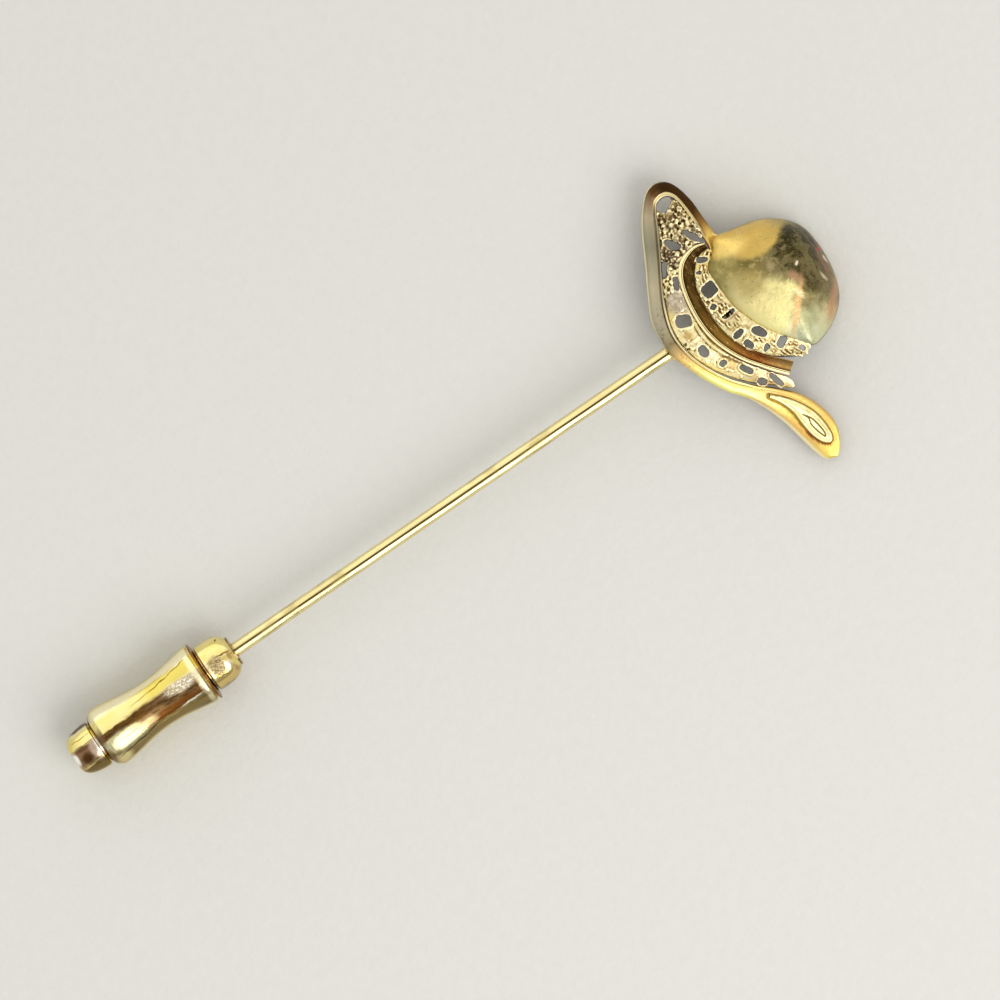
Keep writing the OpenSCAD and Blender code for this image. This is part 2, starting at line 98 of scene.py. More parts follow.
EdgeRow = namedtuple("EdgeRow", "inner_x inner_y outer_x outer_y ridge groove")
BRIM_EDGE = [
    EdgeRow(*row)
    for row in (
        (6.5, 4.35, 7.52, 4.2, 3.35, 0), (6.58, 5.2, 7.45, 5.4, 3.22, 0.4),
        (6.64, 6.0, 7.42, 6.4, 3.05, 0.8), (6.64, 7.1, 7.4, 7.9, 2.9, 1),
        (6.56, 8.4, 7.12, 9.25, 2.75, 1), (6.24, 9.0, 6.65, 10.0, 2.65, 1),
        (5.8, 9.16, 5.9, 10.35, 2.6, 1), (5.26, 9.0, 5.05, 10.1, 2.6, 1),
        (4.86, 8.4, 4.1, 9.15, 2.7, 1), (4.3, 7.3, 3.3, 8.0, 2.9, 1),
        (3.25, 5.5, 2.2, 6.0, 3.3, 1), (2.12, 3.6, 1.05, 4.0, 3.75, 1),
        (1.5, 2.25, 0.32, 2.5, 3.98, 1), (1.12, 1.0, 0.08, 1.0, 4.05, 1),
        (1.12, -0.25, 0.12, -0.3, 4.05, 1), (1.37, -1.4, 0.55, -1.6, 4, 1),
        (1.94, -2.75, 1.13, -3.0, 3.8, 1), (2.62, -3.85, 1.98, -4.55, 3.4, 0.8),
        (3.25, -4.6, 2.56, -5.25, 3.1, 0.4), (3.95, -5.35, 3.06, -6.0, 2.8, 0.1),
        (4.95, -6.2, 3.58, -7.1, 2.4, 0), (6.08, -7.45, 4.06, -8.5, 2.05, 0),
        (6.85, -9.1, 4.44, -10.25, 1.8, 0), (7.02, -10.6, 4.72, -11.5, 1.7, 0),
        (6.6, -11.75, 5.05, -12.3, 1.6, 0), (6.02, -12.48, 5.66, -12.55, 1.5, 0),
    )
]
EdgePoint = namedtuple("EdgePoint", "share plain grooved")
EDGE_SECTION = [
    EdgePoint(*row)
    for row in (
        (0, -0.36, -0.36), (0.025, -0.17, -0.12), (0.06, -0.08, 0.01), (0.1, -0.06, 0.04),
        (0.14, -0.05, 0.0), (0.17, -0.05, -0.1), (0.19, -0.04, -0.14), (0.22, -0.03, -0.1),
        (0.28, -0.02, -0.04), (0.4, 0, -0.01), (0.55, 0, 0.02), (0.7, -0.02, 0.01),
        (0.83, -0.08, -0.06), (0.93, -0.2, -0.18), (0.98, -0.36, -0.35), (1, -0.52, -0.52),
    )
]
EDGE_WALL = 0.84

TAIL_LOOP = [
    (4.25, -6.45), (4.72, -7.2), (5.08, -8.2), (5.16, -9.3), (5.3, -10.3), (5.6, -11.05),
    (5.98, -11.35), (6.22, -11.0), (6.24, -10.0), (6.02, -8.95), (5.45, -7.85), (4.85, -7.05),
    (4.25, -6.45),
]
TAIL_EYE = [
    (5.4, -8.75), (5.66, -9.12), (5.84, -9.5), (5.95, -10.1), (5.99, -10.65), (5.88, -10.92),
    (5.7, -10.5), (5.57, -9.95), (5.54, -9.6), (5.62, -9.2), (5.4, -8.75),
]

# Bands: x, y, z of one edge, then of the other
# Places along the edge in rows of its table, with the width of its bead there, and then with how strong
# the painted highlights on its bead and its lip, the painted shade in the groove beside the bead and
# the dark line along the bead's middle are
RIM_WIDTHS = ((1, 3, 9, 11), (0.18, 0.3, 0.3, 0.18))
BEADED = ((0, 1, 2, 7, 8, 11, 12, 17.5, 19), (0, 0.3, 1, 1, 0.15, 0.1, 1, 1, 0))
LIPPED = ((0, 5, 6.5, 11, 13, 14, 18, 19.5, 25), (0, 0, 1, 1, 0.5, 0, 0, 1, 1))
GROOVED = ((0, 2, 6, 11, 12, 18, 19), (0, 0.6, 0.2, 0.1, 0.8, 0.9, 0))
PARTED = ((1, 2.5, 6, 8), (0, 0.6, 0.45, 0))

BandRow = namedtuple("BandRow", "x1 y1 z1 x2 y2 z2")
HATBAND_ROWS = [
    BandRow(*row)
    for row in (
        (6.58, 4.2, 3.75, 6.36, 4.48, 3.65), (6.1, 3.8, 4.0, 5.68, 4.42, 3.78),
        (5.58, 3.42, 4.25, 5.1, 4.06, 3.95), (5.46, 2.9, 4.45, 4.58, 3.44, 4.08),
        (5.42, 2.2, 4.55, 4.2, 2.66, 4.2), (5.42, 1.5, 4.6, 4.0, 1.7, 4.26),
        (5.46, 0.6, 4.62, 3.94, 0.7, 4.28), (5.62, -0.3, 4.62, 3.98, -0.4, 4.28),
        (5.94, -1.2, 4.62, 4.18, -1.5, 4.26), (6.34, -2.1, 4.6, 4.62, -2.58, 4.2),
        (6.88, -3.0, 4.56, 5.26, -3.5, 4.1), (7.5, -3.8, 4.5, 6.0, -4.3, 3.95),
        (8.08, -4.5, 4.4, 6.95, -4.95, 3.8), (8.42, -5.0, 4.28, 7.5, -5.28, 3.72),
        (8.3, -5.26, 4.18, 7.85, -5.4, 3.85),
    )
]
RIBBON_ROWS = [
    BandRow(*row)
    for row in (
        (6.42, 4.54, 3.6, 6.42, 4.9, 3.5), (5.72, 4.5, 3.7, 5.75, 5.12, 3.58),
        (5.14, 4.14, 3.84, 4.95, 5.05, 3.7), (4.62, 3.54, 3.98, 4.25, 4.74, 3.82),
        (4.24, 2.8, 4.08, 3.64, 4.0, 3.95), (4.02, 2.0, 4.15, 3.27, 3.0, 4.04),
        (3.92, 1.2, 4.18, 3.02, 1.75, 4.1), (3.92, 0.3, 4.2, 2.92, 0.4, 4.12),
        (4.02, -0.8, 4.18, 3.05, -0.9, 4.1), (4.3, -1.9, 4.14, 3.47, -2.18, 4.02),
        (4.8, -2.95, 4.06, 4.08, -3.36, 3.86), (5.5, -3.92, 3.94, 4.8, -4.35, 3.65),
        (6.28, -4.7, 3.78, 5.45, -5.2, 3.42), (6.9, -5.38, 3.6, 6.12, -5.96, 3.2),
    )
]
LACE_ROWS = [
    BandRow(*row)
    for row in (
        (6.2, 8.95, 2.35, 5.7, 9.08, 2.3), (6.48, 8.4, 2.5, 5.2, 8.86, 2.35),
        (6.56, 7.5, 2.7, 4.78, 8.3, 2.42), (6.58, 6.6, 2.95, 4.5, 7.7, 2.52),
        (6.5, 5.75, 3.2, 4.28, 7.25, 2.6), (6.2, 5.24, 3.4, 4.0, 6.76, 2.72),
        (5.75, 5.24, 3.45, 3.76, 6.33, 2.82), (5.3, 5.22, 3.52, 3.5, 5.9, 2.94),
        (4.85, 5.12, 3.6, 3.24, 5.45, 3.06), (4.4, 4.94, 3.68, 2.98, 5.0, 3.18),
        (4.0, 4.62, 3.77, 2.7, 4.55, 3.3), (3.58, 4.08, 3.88, 2.34, 3.92, 3.48),
        (3.19, 3.02, 3.98, 1.83, 2.82, 3.72), (2.95, 1.82, 4.04, 1.42, 1.82, 3.84),
        (2.84, 0.6, 4.06, 1.22, 0.8, 3.88), (2.9, -0.6, 4.05, 1.25, -0.4, 3.88),
        (3.2, -1.72, 3.98, 1.5, -1.5, 3.82), (3.62, -2.74, 3.84, 1.98, -2.6, 3.68),
        (4.12, -3.62, 3.66, 2.52, -3.46, 3.45), (4.74, -4.5, 3.42, 3.14, -4.26, 3.15),
        (5.32, -5.22, 3.18, 3.78, -4.96, 2.88), (5.82, -5.84, 2.96, 4.6, -5.66, 2.62),
        (6.08, -6.42, 2.72, 5.36, -6.3, 2.45), (6.0, -6.86, 2.52, 5.8, -6.78, 2.42),
    )
]
# Sections across the bands: share of the width, and height over the edges
HATBAND_SECTION = [
    (0, -0.2), (0.04, -0.04), (0.1, 0.02), (0.35, 0.08), (0.7, 0.08), (0.94, 0.02), (1, -0.16),
]
RIBBON_SECTION = [
    (0, -0.02), (0.05, -0.02), (0.12, -0.1), (0.25, -0.17), (0.45, -0.2), (0.62, -0.15), (0.7, -0.06),
    (0.73, 0.02), (0.755, 0.05), (0.78, 0.045), (0.8, 0.02), (0.82, 0.02), (0.85, 0.05),
    (0.9, 0.07), (0.96, 0.06), (0.99, 0.03), (1, -0.04),
]
LACE_SECTION = [(0, -0.12), (0.06, -0.02), (0.4, 0.06), (0.6, 0.06), (0.94, -0.02), (1, -0.12)]
HATBAND_WALL = 1.0
RIBBON_WALL = 0.88
LACE_WALL = 0.68
# Rounding of a band's back edges
BACK_ROUND = 0.08

Hole = namedtuple("Hole", "x y long wide turn square")
HATBAND_HOLES = [
    Hole(*row)
    for row in (
        (5.6, 4.04, 0.8, 0.46, -28, 0.1), (4.92, 3.44, 0.4, 0.25, -12, 0.0),
        (4.84, 2.04, 1.06, 1.0, 6, 0.8), (4.4, 0.9, 0.42, 0.46, 30, 0.3),
        (5.0, -0.1, 1.0, 0.34, 4, 0.6), (4.78, -1.62, 0.9, 0.46, 14, 0.1),
        (6.06, -2.3, 0.6, 1.16, 32, 0.2), (4.98, -2.62, 0.5, 0.78, 22, 0.3),
        (5.86, -3.5, 0.62, 0.36, 25, 0.1), (6.96, -3.75, 0.86, 0.62, 30, 0.3),
        (7.92, -4.9, 0.38, 0.5, 20, 0.0),
    )
]
LACE_HOLES = [
    Hole(*row)
    for row in (
        (5.66, 8.72, 1.25, 0.86, 20, 0.1), (6.0, 5.85, 0.52, 1.5, 28, 0.0),
        (4.55, 6.05, 0.62, 1.3, 34, 0.0), (3.05, 5.02, 0.62, 1.15, -34, 0.0),
        (3.2, 3.7, 0.42, 1.0, -28, 0.4), (2.15, 1.25, 1.14, 0.92, -22, 0.5),
        (2.12, -1.25, 0.64, 0.95, 4, 0.1), (2.78, -2.7, 0.52, 0.46, 20, 0.2),
        (3.9, -3.98, 0.5, 1.05, 30, 0.1), (4.36, -5.28, 0.46, 0.72, 40, 0.2),
        (5.24, -5.72, 0.4, 1.25, 14, 0.3), (1.33, -0.16, 0.26, 0.2, 0, 0.5),
        (1.33, -0.56, 0.26, 0.2, 0, 0.5),
    )
]

# Sides of a hole's outline, and the heights between which the holes are cut
HOLE_SIDES = 28
HOLE_LOW = 0.3
HOLE_HIGH = 6.3
# Which holes have a raised rim: those of the lace over a length and right of a line, and those of
# the hatband over a width
RIM_LONG = 0.3
RIM_Y = 4.4
RIM_WIDE = 0.4

# Raised lines of the lace: radius, then the path
LACE_RIDGES = (
    (0.13, (2.74, 0.75), (2.68, -0.2), (2.86, -1.3), (3.28, -2.3), (3.86, -3.3), (4.5, -4.3)),
    (0.07, (1.5, -0.28), (1.95, -0.3), (2.42, -0.24)),
    (0.06, (1.5, -0.66), (1.9, -0.72), (2.3, -0.62)),
    (0.05, (1.62, -1.0), (1.76, -1.1), (1.7, -1.26), (1.58, -1.2), (1.62, -1.0)),
    (0.05, (1.72, -1.72), (1.9, -1.78), (1.88, -1.96), (1.72, -1.94), (1.72, -1.72)),
    (0.05, (2.2, -2.1), (2.36, -2.2), (2.3, -2.36), (2.16, -2.28), (2.2, -2.1)),
    (0.06, (2.62, -3.15), (2.84, -3.3), (3.02, -3.62)),
    (0.07, (1.62, 0.62), (1.72, 0.2), (1.64, -0.1)),
    (0.06, (2.75, 2.1), (2.6, 1.95), (2.3, 1.9), (1.9, 1.85)),
)
# The lace is all grains left of the first of these lines, and has hardly any from there to the second
WING_Y = 3.4
WORN_Y = 1.7
# Lines between which the lumps of the cast rise from low, at the right, to full, at the left
WORN_SIDE = (3.0, 3.7)
# Places tried for the grains
GRAIN_TRIES = 5200


# Curves

def between(a, b, c, d, t):
    """Place on the smooth curve from b to c, a share t of the way."""
    return tuple(
        (2 * q + (r - p) * t + (2 * p - 5 * q + 4 * r - s) * t**2 + (3 * q - p - 3 * r + s) * t**3) / 2
        for p, q, r, s in zip(a, b, c, d)
    )


def smooth(rows, steps, closed=False):
    """Rows of a table with a number of steps from each to the next along a smooth curve."""
    count = len(rows)
    last = count - 1
    if closed:
        return [
            between(rows[i - 1], rows[i], rows[(i + 1) % count], rows[(i + 2) % count], k / steps)
            for i in range(count)
            for k in range(steps)
        ]
    line = [
        between(rows[max(i - 1, 0)], rows[i], rows[i + 1], rows[min(i + 2, last)], k / steps)
        for i in range(last)
        for k in range(steps)
    ]
    return line + [tuple(rows[last])]


def rounded(corners, steps=6):
    """Outline through corners of radius, place and rounding, each rounded off with a curve."""
    outline = []
    for i, (r, z, rounding) in enumerate(corners):
        corner = Vector((r, z))
        if rounding == 0 or i in (0, len(corners) - 1):
            outline.append(tuple(corner))
            continue
        before = Vector(corners[i - 1][:2]) - corner
        after = Vector(corners[i + 1][:2]) - corner
        start = corner + before.normalized() * min(rounding, before.length / 2)
        end = corner + after.normalized() * min(rounding, after.length / 2)
        for k in range(steps + 1):
            t = k / steps
            outline.append(tuple(start * (1 - t) ** 2 + corner * 2 * t * (1 - t) + end * t**2))
    return outline


def step(values, low, high):
    """Smooth step of an array of values."""
    share = np.clip((values - low) / (high - low), 0, 1)
    return share * share * (3 - 2 * share)


# Modelling steps

def choose(*objects):
    """Leaves only these objects selected, the first of them active."""
    if bpy.context.object and bpy.context.object.mode != "OBJECT":
        bpy.ops.object.mode_set(mode="OBJECT")
    bpy.ops.object.select_all(action="DESELECT")
    for obj in objects:
        obj.select_set(True)
    if objects:
        bpy.context.view_layer.objects.active = objects[0]


def named(name):
    """Names the object that was just added and its mesh."""
    obj = bpy.context.object
    obj.name = name
    obj.data.name = name
    return obj


def remove(obj):
    """Removes an object."""
    choose(obj)
    bpy.ops.object.delete()


def put(obj, places):
    """Moves the points of a mesh to places."""
    obj.data.vertices.foreach_set("co", np.array(places, np.float32).ravel())


def open_mesh():
    """Opens the active object in edit mode, with its whole mesh selected."""
    bpy.ops.object.mode_set(mode="EDIT")
    bpy.ops.mesh.select_all(action="SELECT")


def close_mesh():
    """Turns all faces outwards and leaves edit mode."""
    bpy.ops.mesh.select_all(action="SELECT")
    bpy.ops.mesh.normals_make_consistent(inside=False)
    bpy.ops.object.mode_set(mode="OBJECT")


def mark(obj, name, values):
    """Stores a number for each point of the mesh, which the finish reads."""
    layer = obj.data.attributes.new(name, "FLOAT", "POINT")
    layer.data.foreach_set("value", np.asarray(values, np.float32))


def numbers_of(obj, name):
    """Numbers that are stored at the points of a mesh."""
    values = np.empty(len(obj.data.vertices), np.float32)
    obj.data.attributes[name].data.foreach_get("value", values)
    return values


def places_of(obj):
    """Places of the points of a mesh."""
    places = np.empty(len(obj.data.vertices) * 3, np.float32)
    obj.data.vertices.foreach_get("co", places)
    return places.reshape(-1, 3)


def laid(name, rings, across=None):
    """Closed shell from a grid that is laid on rings of places, joined down its side and closed."""
    choose()
    count = len(rings[0])
    bpy.ops.mesh.primitive_grid_add(x_subdivisions=count, y_subdivisions=len(rings) - 1, size=1)
    obj = named(name)
    places = [ring[i % count] for ring in rings for i in range(count + 1)]
    put(obj, places)
    if across:
        mark(obj, "across", [across[i % count] for _ in rings for i in range(count + 1)])
        mark(obj, "along", [k / (len(rings) - 1) for k in range(len(rings)) for _ in range(count + 1)])
    open_mesh()
    bpy.ops.mesh.remove_doubles(threshold=JOIN)
    bpy.ops.mesh.select_all(action="SELECT")
    bpy.ops.mesh.fill_holes(sides=0)
    close_mesh()
    return obj


def spun(name, outline, steps=144):
    """Round piece from a closed outline of radius and place, spun about the z axis."""
    choose()
    bpy.ops.mesh.primitive_circle_add(vertices=len(outline), fill_type="NOTHING")
    obj = named(name)
    put(obj, [(r, 0, z) for r, z in outline])
    open_mesh()
    bpy.ops.mesh.spin(steps=steps, angle=2 * math.pi, center=(0, 0, 0), axis=(0, 0, 1))
    bpy.ops.mesh.select_all(action="SELECT")
    bpy.ops.mesh.remove_doubles(threshold=JOIN)
    bpy.ops.mesh.delete_loose()
    close_mesh()
    return obj


def modify(obj, kind, **settings):
    """Adds a modifier, sets it and applies it."""
    choose(obj)
    bpy.ops.object.modifier_add(type=kind)
    modifier = obj.modifiers[-1]
    for key, value in settings.items():
        setattr(modifier, key, value)
    bpy.ops.object.modifier_apply(modifier=modifier.name)


def combined(obj, operation, tool):
    """Cuts an object with a tool, or makes the two one solid, and removes the tool."""
    modify(obj, "BOOLEAN", operation=operation, object=tool, solver="EXACT")
    remove(tool)


def merged(first, *others):
    """Joins objects into the first of them."""
    choose(first, *others)
    bpy.ops.object.join()
    return first


def copies(model, name, spots):
    """One object of copies of a small shape, each at a spot with its place, three sizes and turn."""
    shape = np.array([point.co for point in model.data.vertices])
    faces = [tuple(face.vertices) for face in model.data.polygons]
    points = []
    polygons = []
    for place, sizes, turn in spots:
        c = math.cos(turn)
        s = math.sin(turn)
        sized = shape * np.array(sizes)
        turned = np.column_stack(
            (sized[:, 0] * c - sized[:, 1] * s, sized[:, 0] * s + sized[:, 1] * c, sized[:, 2])
        )
        start = len(points) * len(shape)
        points.append(turned + np.array(place))
        polygons += [tuple(start + i for i in face) for face in faces]
    mesh = bpy.data.meshes.new(name)
    mesh.from_pydata(np.concatenate(points).tolist(), [], polygons)
    obj = bpy.data.objects.new(name, mesh)
    bpy.context.scene.collection.objects.link(obj)
    remove(model)
    return obj


def mark_hollows(obj):
    """Stores how deep each point lies under what is round it: over 0.5 in crevices, less on grains."""
    rounds = 24
    contrast = 5
    mesh = obj.data
    count = len(mesh.vertices)
    places = places_of(obj).astype(float)
    normals = np.empty(count * 3, np.float32)
    mesh.vertices.foreach_get("normal", normals)
    normals = normals.reshape(-1, 3)
    edges = np.empty(len(mesh.edges) * 2, np.int32)
    mesh.edges.foreach_get("vertices", edges)
    ends = edges.reshape(-1, 2)
    near = np.concatenate((ends[:, 0], ends[:, 1]))
    far = np.concatenate((ends[:, 1], ends[:, 0]))
    shared = np.maximum(np.bincount(near, minlength=count), 1)
    flattened = places.copy()
    for _ in range(rounds):
        means = np.column_stack(
            [np.bincount(near, weights=flattened[far, k], minlength=count) / shared for k in range(3)]
        )
        flattened = (flattened + means) / 2
    depth = ((flattened - places) * normals).sum(axis=1)
    mark(obj, "hollow", np.clip(0.5 + depth * contrast, 0, 1))


def place_piece(obj, node, body, finish, on_stem=False, crease=48):
    """Brings a finished piece to its place in metres, hides the imported part that it stands for, and
    hangs it on the body that it moves with.
    """
    choose(obj)
    if on_stem:
        obj.rotation_euler = (0, math.pi / 2 - STEM_TILT, 0)
        obj.location = (HEAD_PLACE + Vector((FOOT_X, 0, FOOT_R))) * MM
    else:
        obj.location = HEAD_PLACE * MM
    obj.scale = (MM, MM, MM)
    bpy.ops.object.transform_apply(location=True, rotation=True, scale=True)
    bpy.ops.object.shade_smooth_by_angle(angle=math.radians(crease))
    obj.data.materials.clear()
    obj.data.materials.append(finish.material)
    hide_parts(node)
    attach(obj, body)


# Shapes of the head

def cross(a, b, section, wall, grow=0.0, reach=None):
    """Ring across a band: front by the section, then a rounded back; its sides grow by a width each."""
    a = Vector(a)
    b = Vector(b)
    way = (b - a).normalized()
    a = a - way * (grow if reach is None else reach)
    b = b + way * grow
    front = [a.lerp(b, share) + Vector((0, 0, rise)) for share, rise in section]
    corner = min(BACK_ROUND, (b - a).length * 0.25)
    low = Vector((0, 0, -wall))
    up = Vector((0, 0, BACK_ROUND))
    back = [b + low + up, b - way * corner + low, a + way * corner + low, a + low + up]
    return [tuple(point) for point in front + back]


def fine(section):
    """Section with more points on a smooth curve."""
    return smooth([tuple(point) for point in section], 3)


def shares_of(section):
    """Share of the width at each point of a ring, with a mark under zero for the four of its back."""
    return [point[0] for point in section] + [-1] * 4


def band_points(rows, section):
    """Places over a band's front, to set things on it."""
    places = []
    for row in smooth(rows, 10):
        a = Vector(row[:3])
        b = Vector(row[3:])
        for share, rise in fine(section):
            places.append(tuple(a.lerp(b, min(1, max(0, share))) + Vector((0, 0, rise))))
    return np.array(places)


def height_at(places, x, y):
    """Height of the nearest place of a band."""
    gaps = (places[:, 0] - x) ** 2 + (places[:, 1] - y) ** 2
    return float(places[gaps.argmin(), 2])


def rim_of(hole, angle, grow):
    """Place on a hole's outline, between an ellipse and a rounded square."""
    power = 2 + 3.5 * hole.square
    c = math.cos(angle)
    s = math.sin(angle)
    reach = (abs(c) ** power + abs(s) ** power) ** (-1 / power)
    u = c * reach * (hole.long / 2 + grow)
    v = s * reach * (hole.wide / 2 + grow)
    turn = math.radians(hole.turn)
    return (
        hole.x + u * math.cos(turn) - v * math.sin(turn),
        hole.y + u * math.sin(turn) + v * math.cos(turn),
    )


def in_hole(hole, x, y, grow=0.0):
    """Whether a place lies within a hole that is grown by a width."""
    turn = math.radians(-hole.turn)
    u = (x - hole.x) * math.cos(turn) - (y - hole.y) * math.sin(turn)
    v = (x - hole.x) * math.sin(turn) + (y - hole.y) * math.cos(turn)
    power = 2 + 3.5 * hole.square
    a = max(hole.long / 2 + grow, 0.01)
    b = max(hole.wide / 2 + grow, 0.01)
    return (abs(u) / a) ** power + (abs(v) / b) ** power < 1


def pierced(obj, holes, seed):
    """Cuts slightly uneven holes through a band, from front to back."""
    chance = random.Random(seed)
    cutters = []
    for hole in holes:
        choose()
        bpy.ops.mesh.primitive_circle_add(vertices=HOLE_SIDES, fill_type="NGON")
        cutter = named("cutter")
        wave = chance.uniform(0, 6)
        points = []
        for k in range(HOLE_SIDES):
            angle = 2 * math.pi * k / HOLE_SIDES
            uneven = 0.03 * math.sin(3 * angle + wave) + 0.02 * chance.uniform(-1, 1)
            x, y = rim_of(hole, angle, uneven)
            points.append((x, y, HOLE_LOW))
        put(cutter, points)
        open_mesh()
        rise = HOLE_HIGH - HOLE_LOW
        bpy.ops.mesh.extrude_region_move(TRANSFORM_OT_translate={"value": (0, 0, rise)})
        close_mesh()
        cutters.append(cutter)
    combined(obj, "DIFFERENCE", merged(*cutters))


def cast(obj, voxel, lumps, lump_size, smooth_side=None):
    """Melts a band and its grains into one worn cast surface, with low lumps on a smooth side."""
    modify(obj, "REMESH", mode="VOXEL", voxel_size=voxel)
    clouds = bpy.data.textures.new("Cast lumps", "CLOUDS")
    clouds.noise_scale = lump_size
    lumpy = obj.vertex_groups.new(name="lumpy")
    places = places_of(obj)
    shares = np.ones(len(places))
    if smooth_side is not None:
        shares = 0.2 + 0.8 * step(places[:, 1], *smooth_side)
    levels = np.round(shares * 10).astype(int)
    for level in range(11):
        lumpy.add(np.flatnonzero(levels == level).tolist(), level / 10, "REPLACE")
    modify(obj, "DISPLACE", texture=clouds, strength=lumps, mid_level=0.5, vertex_group="lumpy")
    bpy.data.textures.remove(clouds)
    modify(obj, "SMOOTH", factor=0.5, iterations=2)
    mark_hollows(obj)


def small_ball():
    """Low ball that the grains are copied from."""
    choose()
    bpy.ops.mesh.primitive_ico_sphere_add(subdivisions=2, radius=1)
    return named("grain")


def small_block():
    """Bevelled block that the prongs are copied from."""
    choose()
    bpy.ops.mesh.primitive_cube_add(size=2)
    obj = named("prong")
    open_mesh()
    bpy.ops.mesh.bevel(offset=0.5, segments=2, affect="EDGES")
    bpy.ops.object.mode_set(mode="OBJECT")
    return obj


def rim_wires(holes, places, radius, chance):
    """Uneven raised rims round holes."""
    steps = 32
    rims = []
    for hole in holes:
        wave = chance.uniform(0, 6)
        path = []
        for k in range(steps + 1):
            angle = 2 * math.pi * k / steps
            x, y = rim_of(hole, angle, radius * (0.7 + 0.35 * math.sin(2 * angle + wave)))
            path.append(Vector((x, y, height_at(places, x, y) - radius * 0.25)))
        rims.append(tube("rim", path, radius * chance.uniform(0.85, 1.15), sides=8))
    return merged(*rims)


def rim_grains(holes, places, size, gap, chance):
    """Spots for small grains set round the rims of holes."""
    spots = []
    for hole in holes:
        around = math.pi * (hole.long + hole.wide) / 2
        count = max(5, int(around / gap))
        start = chance.uniform(0, 1)
        for k in range(count):
            angle = 2 * math.pi * (k + start) / count
            r = size * chance.uniform(0.75, 1.3)
            x, y = rim_of(hole, angle, r * 0.75)
            if any(in_hole(other, x, y) for other in holes):
                continue
            z = height_at(places, x, y)
            spots.append(((x, y, z), (r, r, r * 0.9), chance.uniform(0, 3)))
    return spots


# Finishes

def tone(red, green, blue):
    """Colour for a node from the red, green and blue of a screen, out of 255."""
    def linear(value):
        share = value / 255
        return share / 12.92 if share <= 0.04045 else ((share + 0.055) / 1.055) ** 2.4

    return (linear(red), linear(green), linear(blue), 1)


class Nodes:
    """Nodes of a finish or of the surroundings, made one by one and linked."""

    def __init__(self, owner):
        owner.use_nodes = True
        self.tree = owner.node_tree
        self.tree.nodes.clear()

    def node(self, kind, **settings):
        """New node with its settings."""
        made = self.tree.nodes.new(kind)
        for key, value in settings.items():
            setattr(made, key, value)
        return made

    def feed(self, socket, value):
        """Links a socket to another, or gives it a value."""
        if isinstance(value, bpy.types.NodeSocket):
            self.tree.links.new(value, socket)
        else:
            socket.default_value = value

    def math(self, operation, a, b):
        """Number worked out from two others."""
        made = self.node("ShaderNodeMath", operation=operation)
        self.feed(made.inputs[0], a)
        self.feed(made.inputs[1], b)
        return made.outputs[0]

    def scaled(self, mask, share):
        """Mask made weaker."""
        return self.math("MULTIPLY", mask, share)

    def both(self, a, b):
        """Mask of where two masks meet."""
        return self.math("MULTIPLY", a, b)

    def ramped(self, value, low, high, to_low=0.0, to_high=1.0):
        """Smooth step of a value from low to high."""
        made = self.node("ShaderNodeMapRange", interpolation_type="SMOOTHSTEP")
        self.feed(made.inputs["Value"], value)
        made.inputs["From Min"].default_value = low
        made.inputs["From Max"].default_value = high
        made.inputs["To Min"].default_value = to_low
        made.inputs["To Max"].default_value = to_high
        return made.outputs["Result"]

    def blend(self, a, b, mask, share=1):
        """Colour from a to b by a mask, or by a share of it."""
        made = self.node("ShaderNodeMix", data_type="RGBA")
        self.feed(made.inputs[0], mask if share == 1 else self.scaled(mask, share))
        self.feed(made.inputs[6], a)
        self.feed(made.inputs[7], b)
        return made.outputs[2]

    def along(self, value, stops):
        """Colour that runs through stops of place and colour."""
        ramp = self.node("ShaderNodeValToRGB")
        self.feed(ramp.inputs[0], value)
        elements = ramp.color_ramp.elements
        elements[0].position, elements[0].color = stops[0]
        elements[1].position, elements[1].color = stops[-1]
        for position, colour in stops[1:-1]:
            elements.new(position).color = colour
        return ramp.outputs[0]


# A patch of colour: its middle, half sizes, turn, softness, colour, and how much of it shows
Patch = namedtuple("Patch", "x y long wide turn soft colour share")


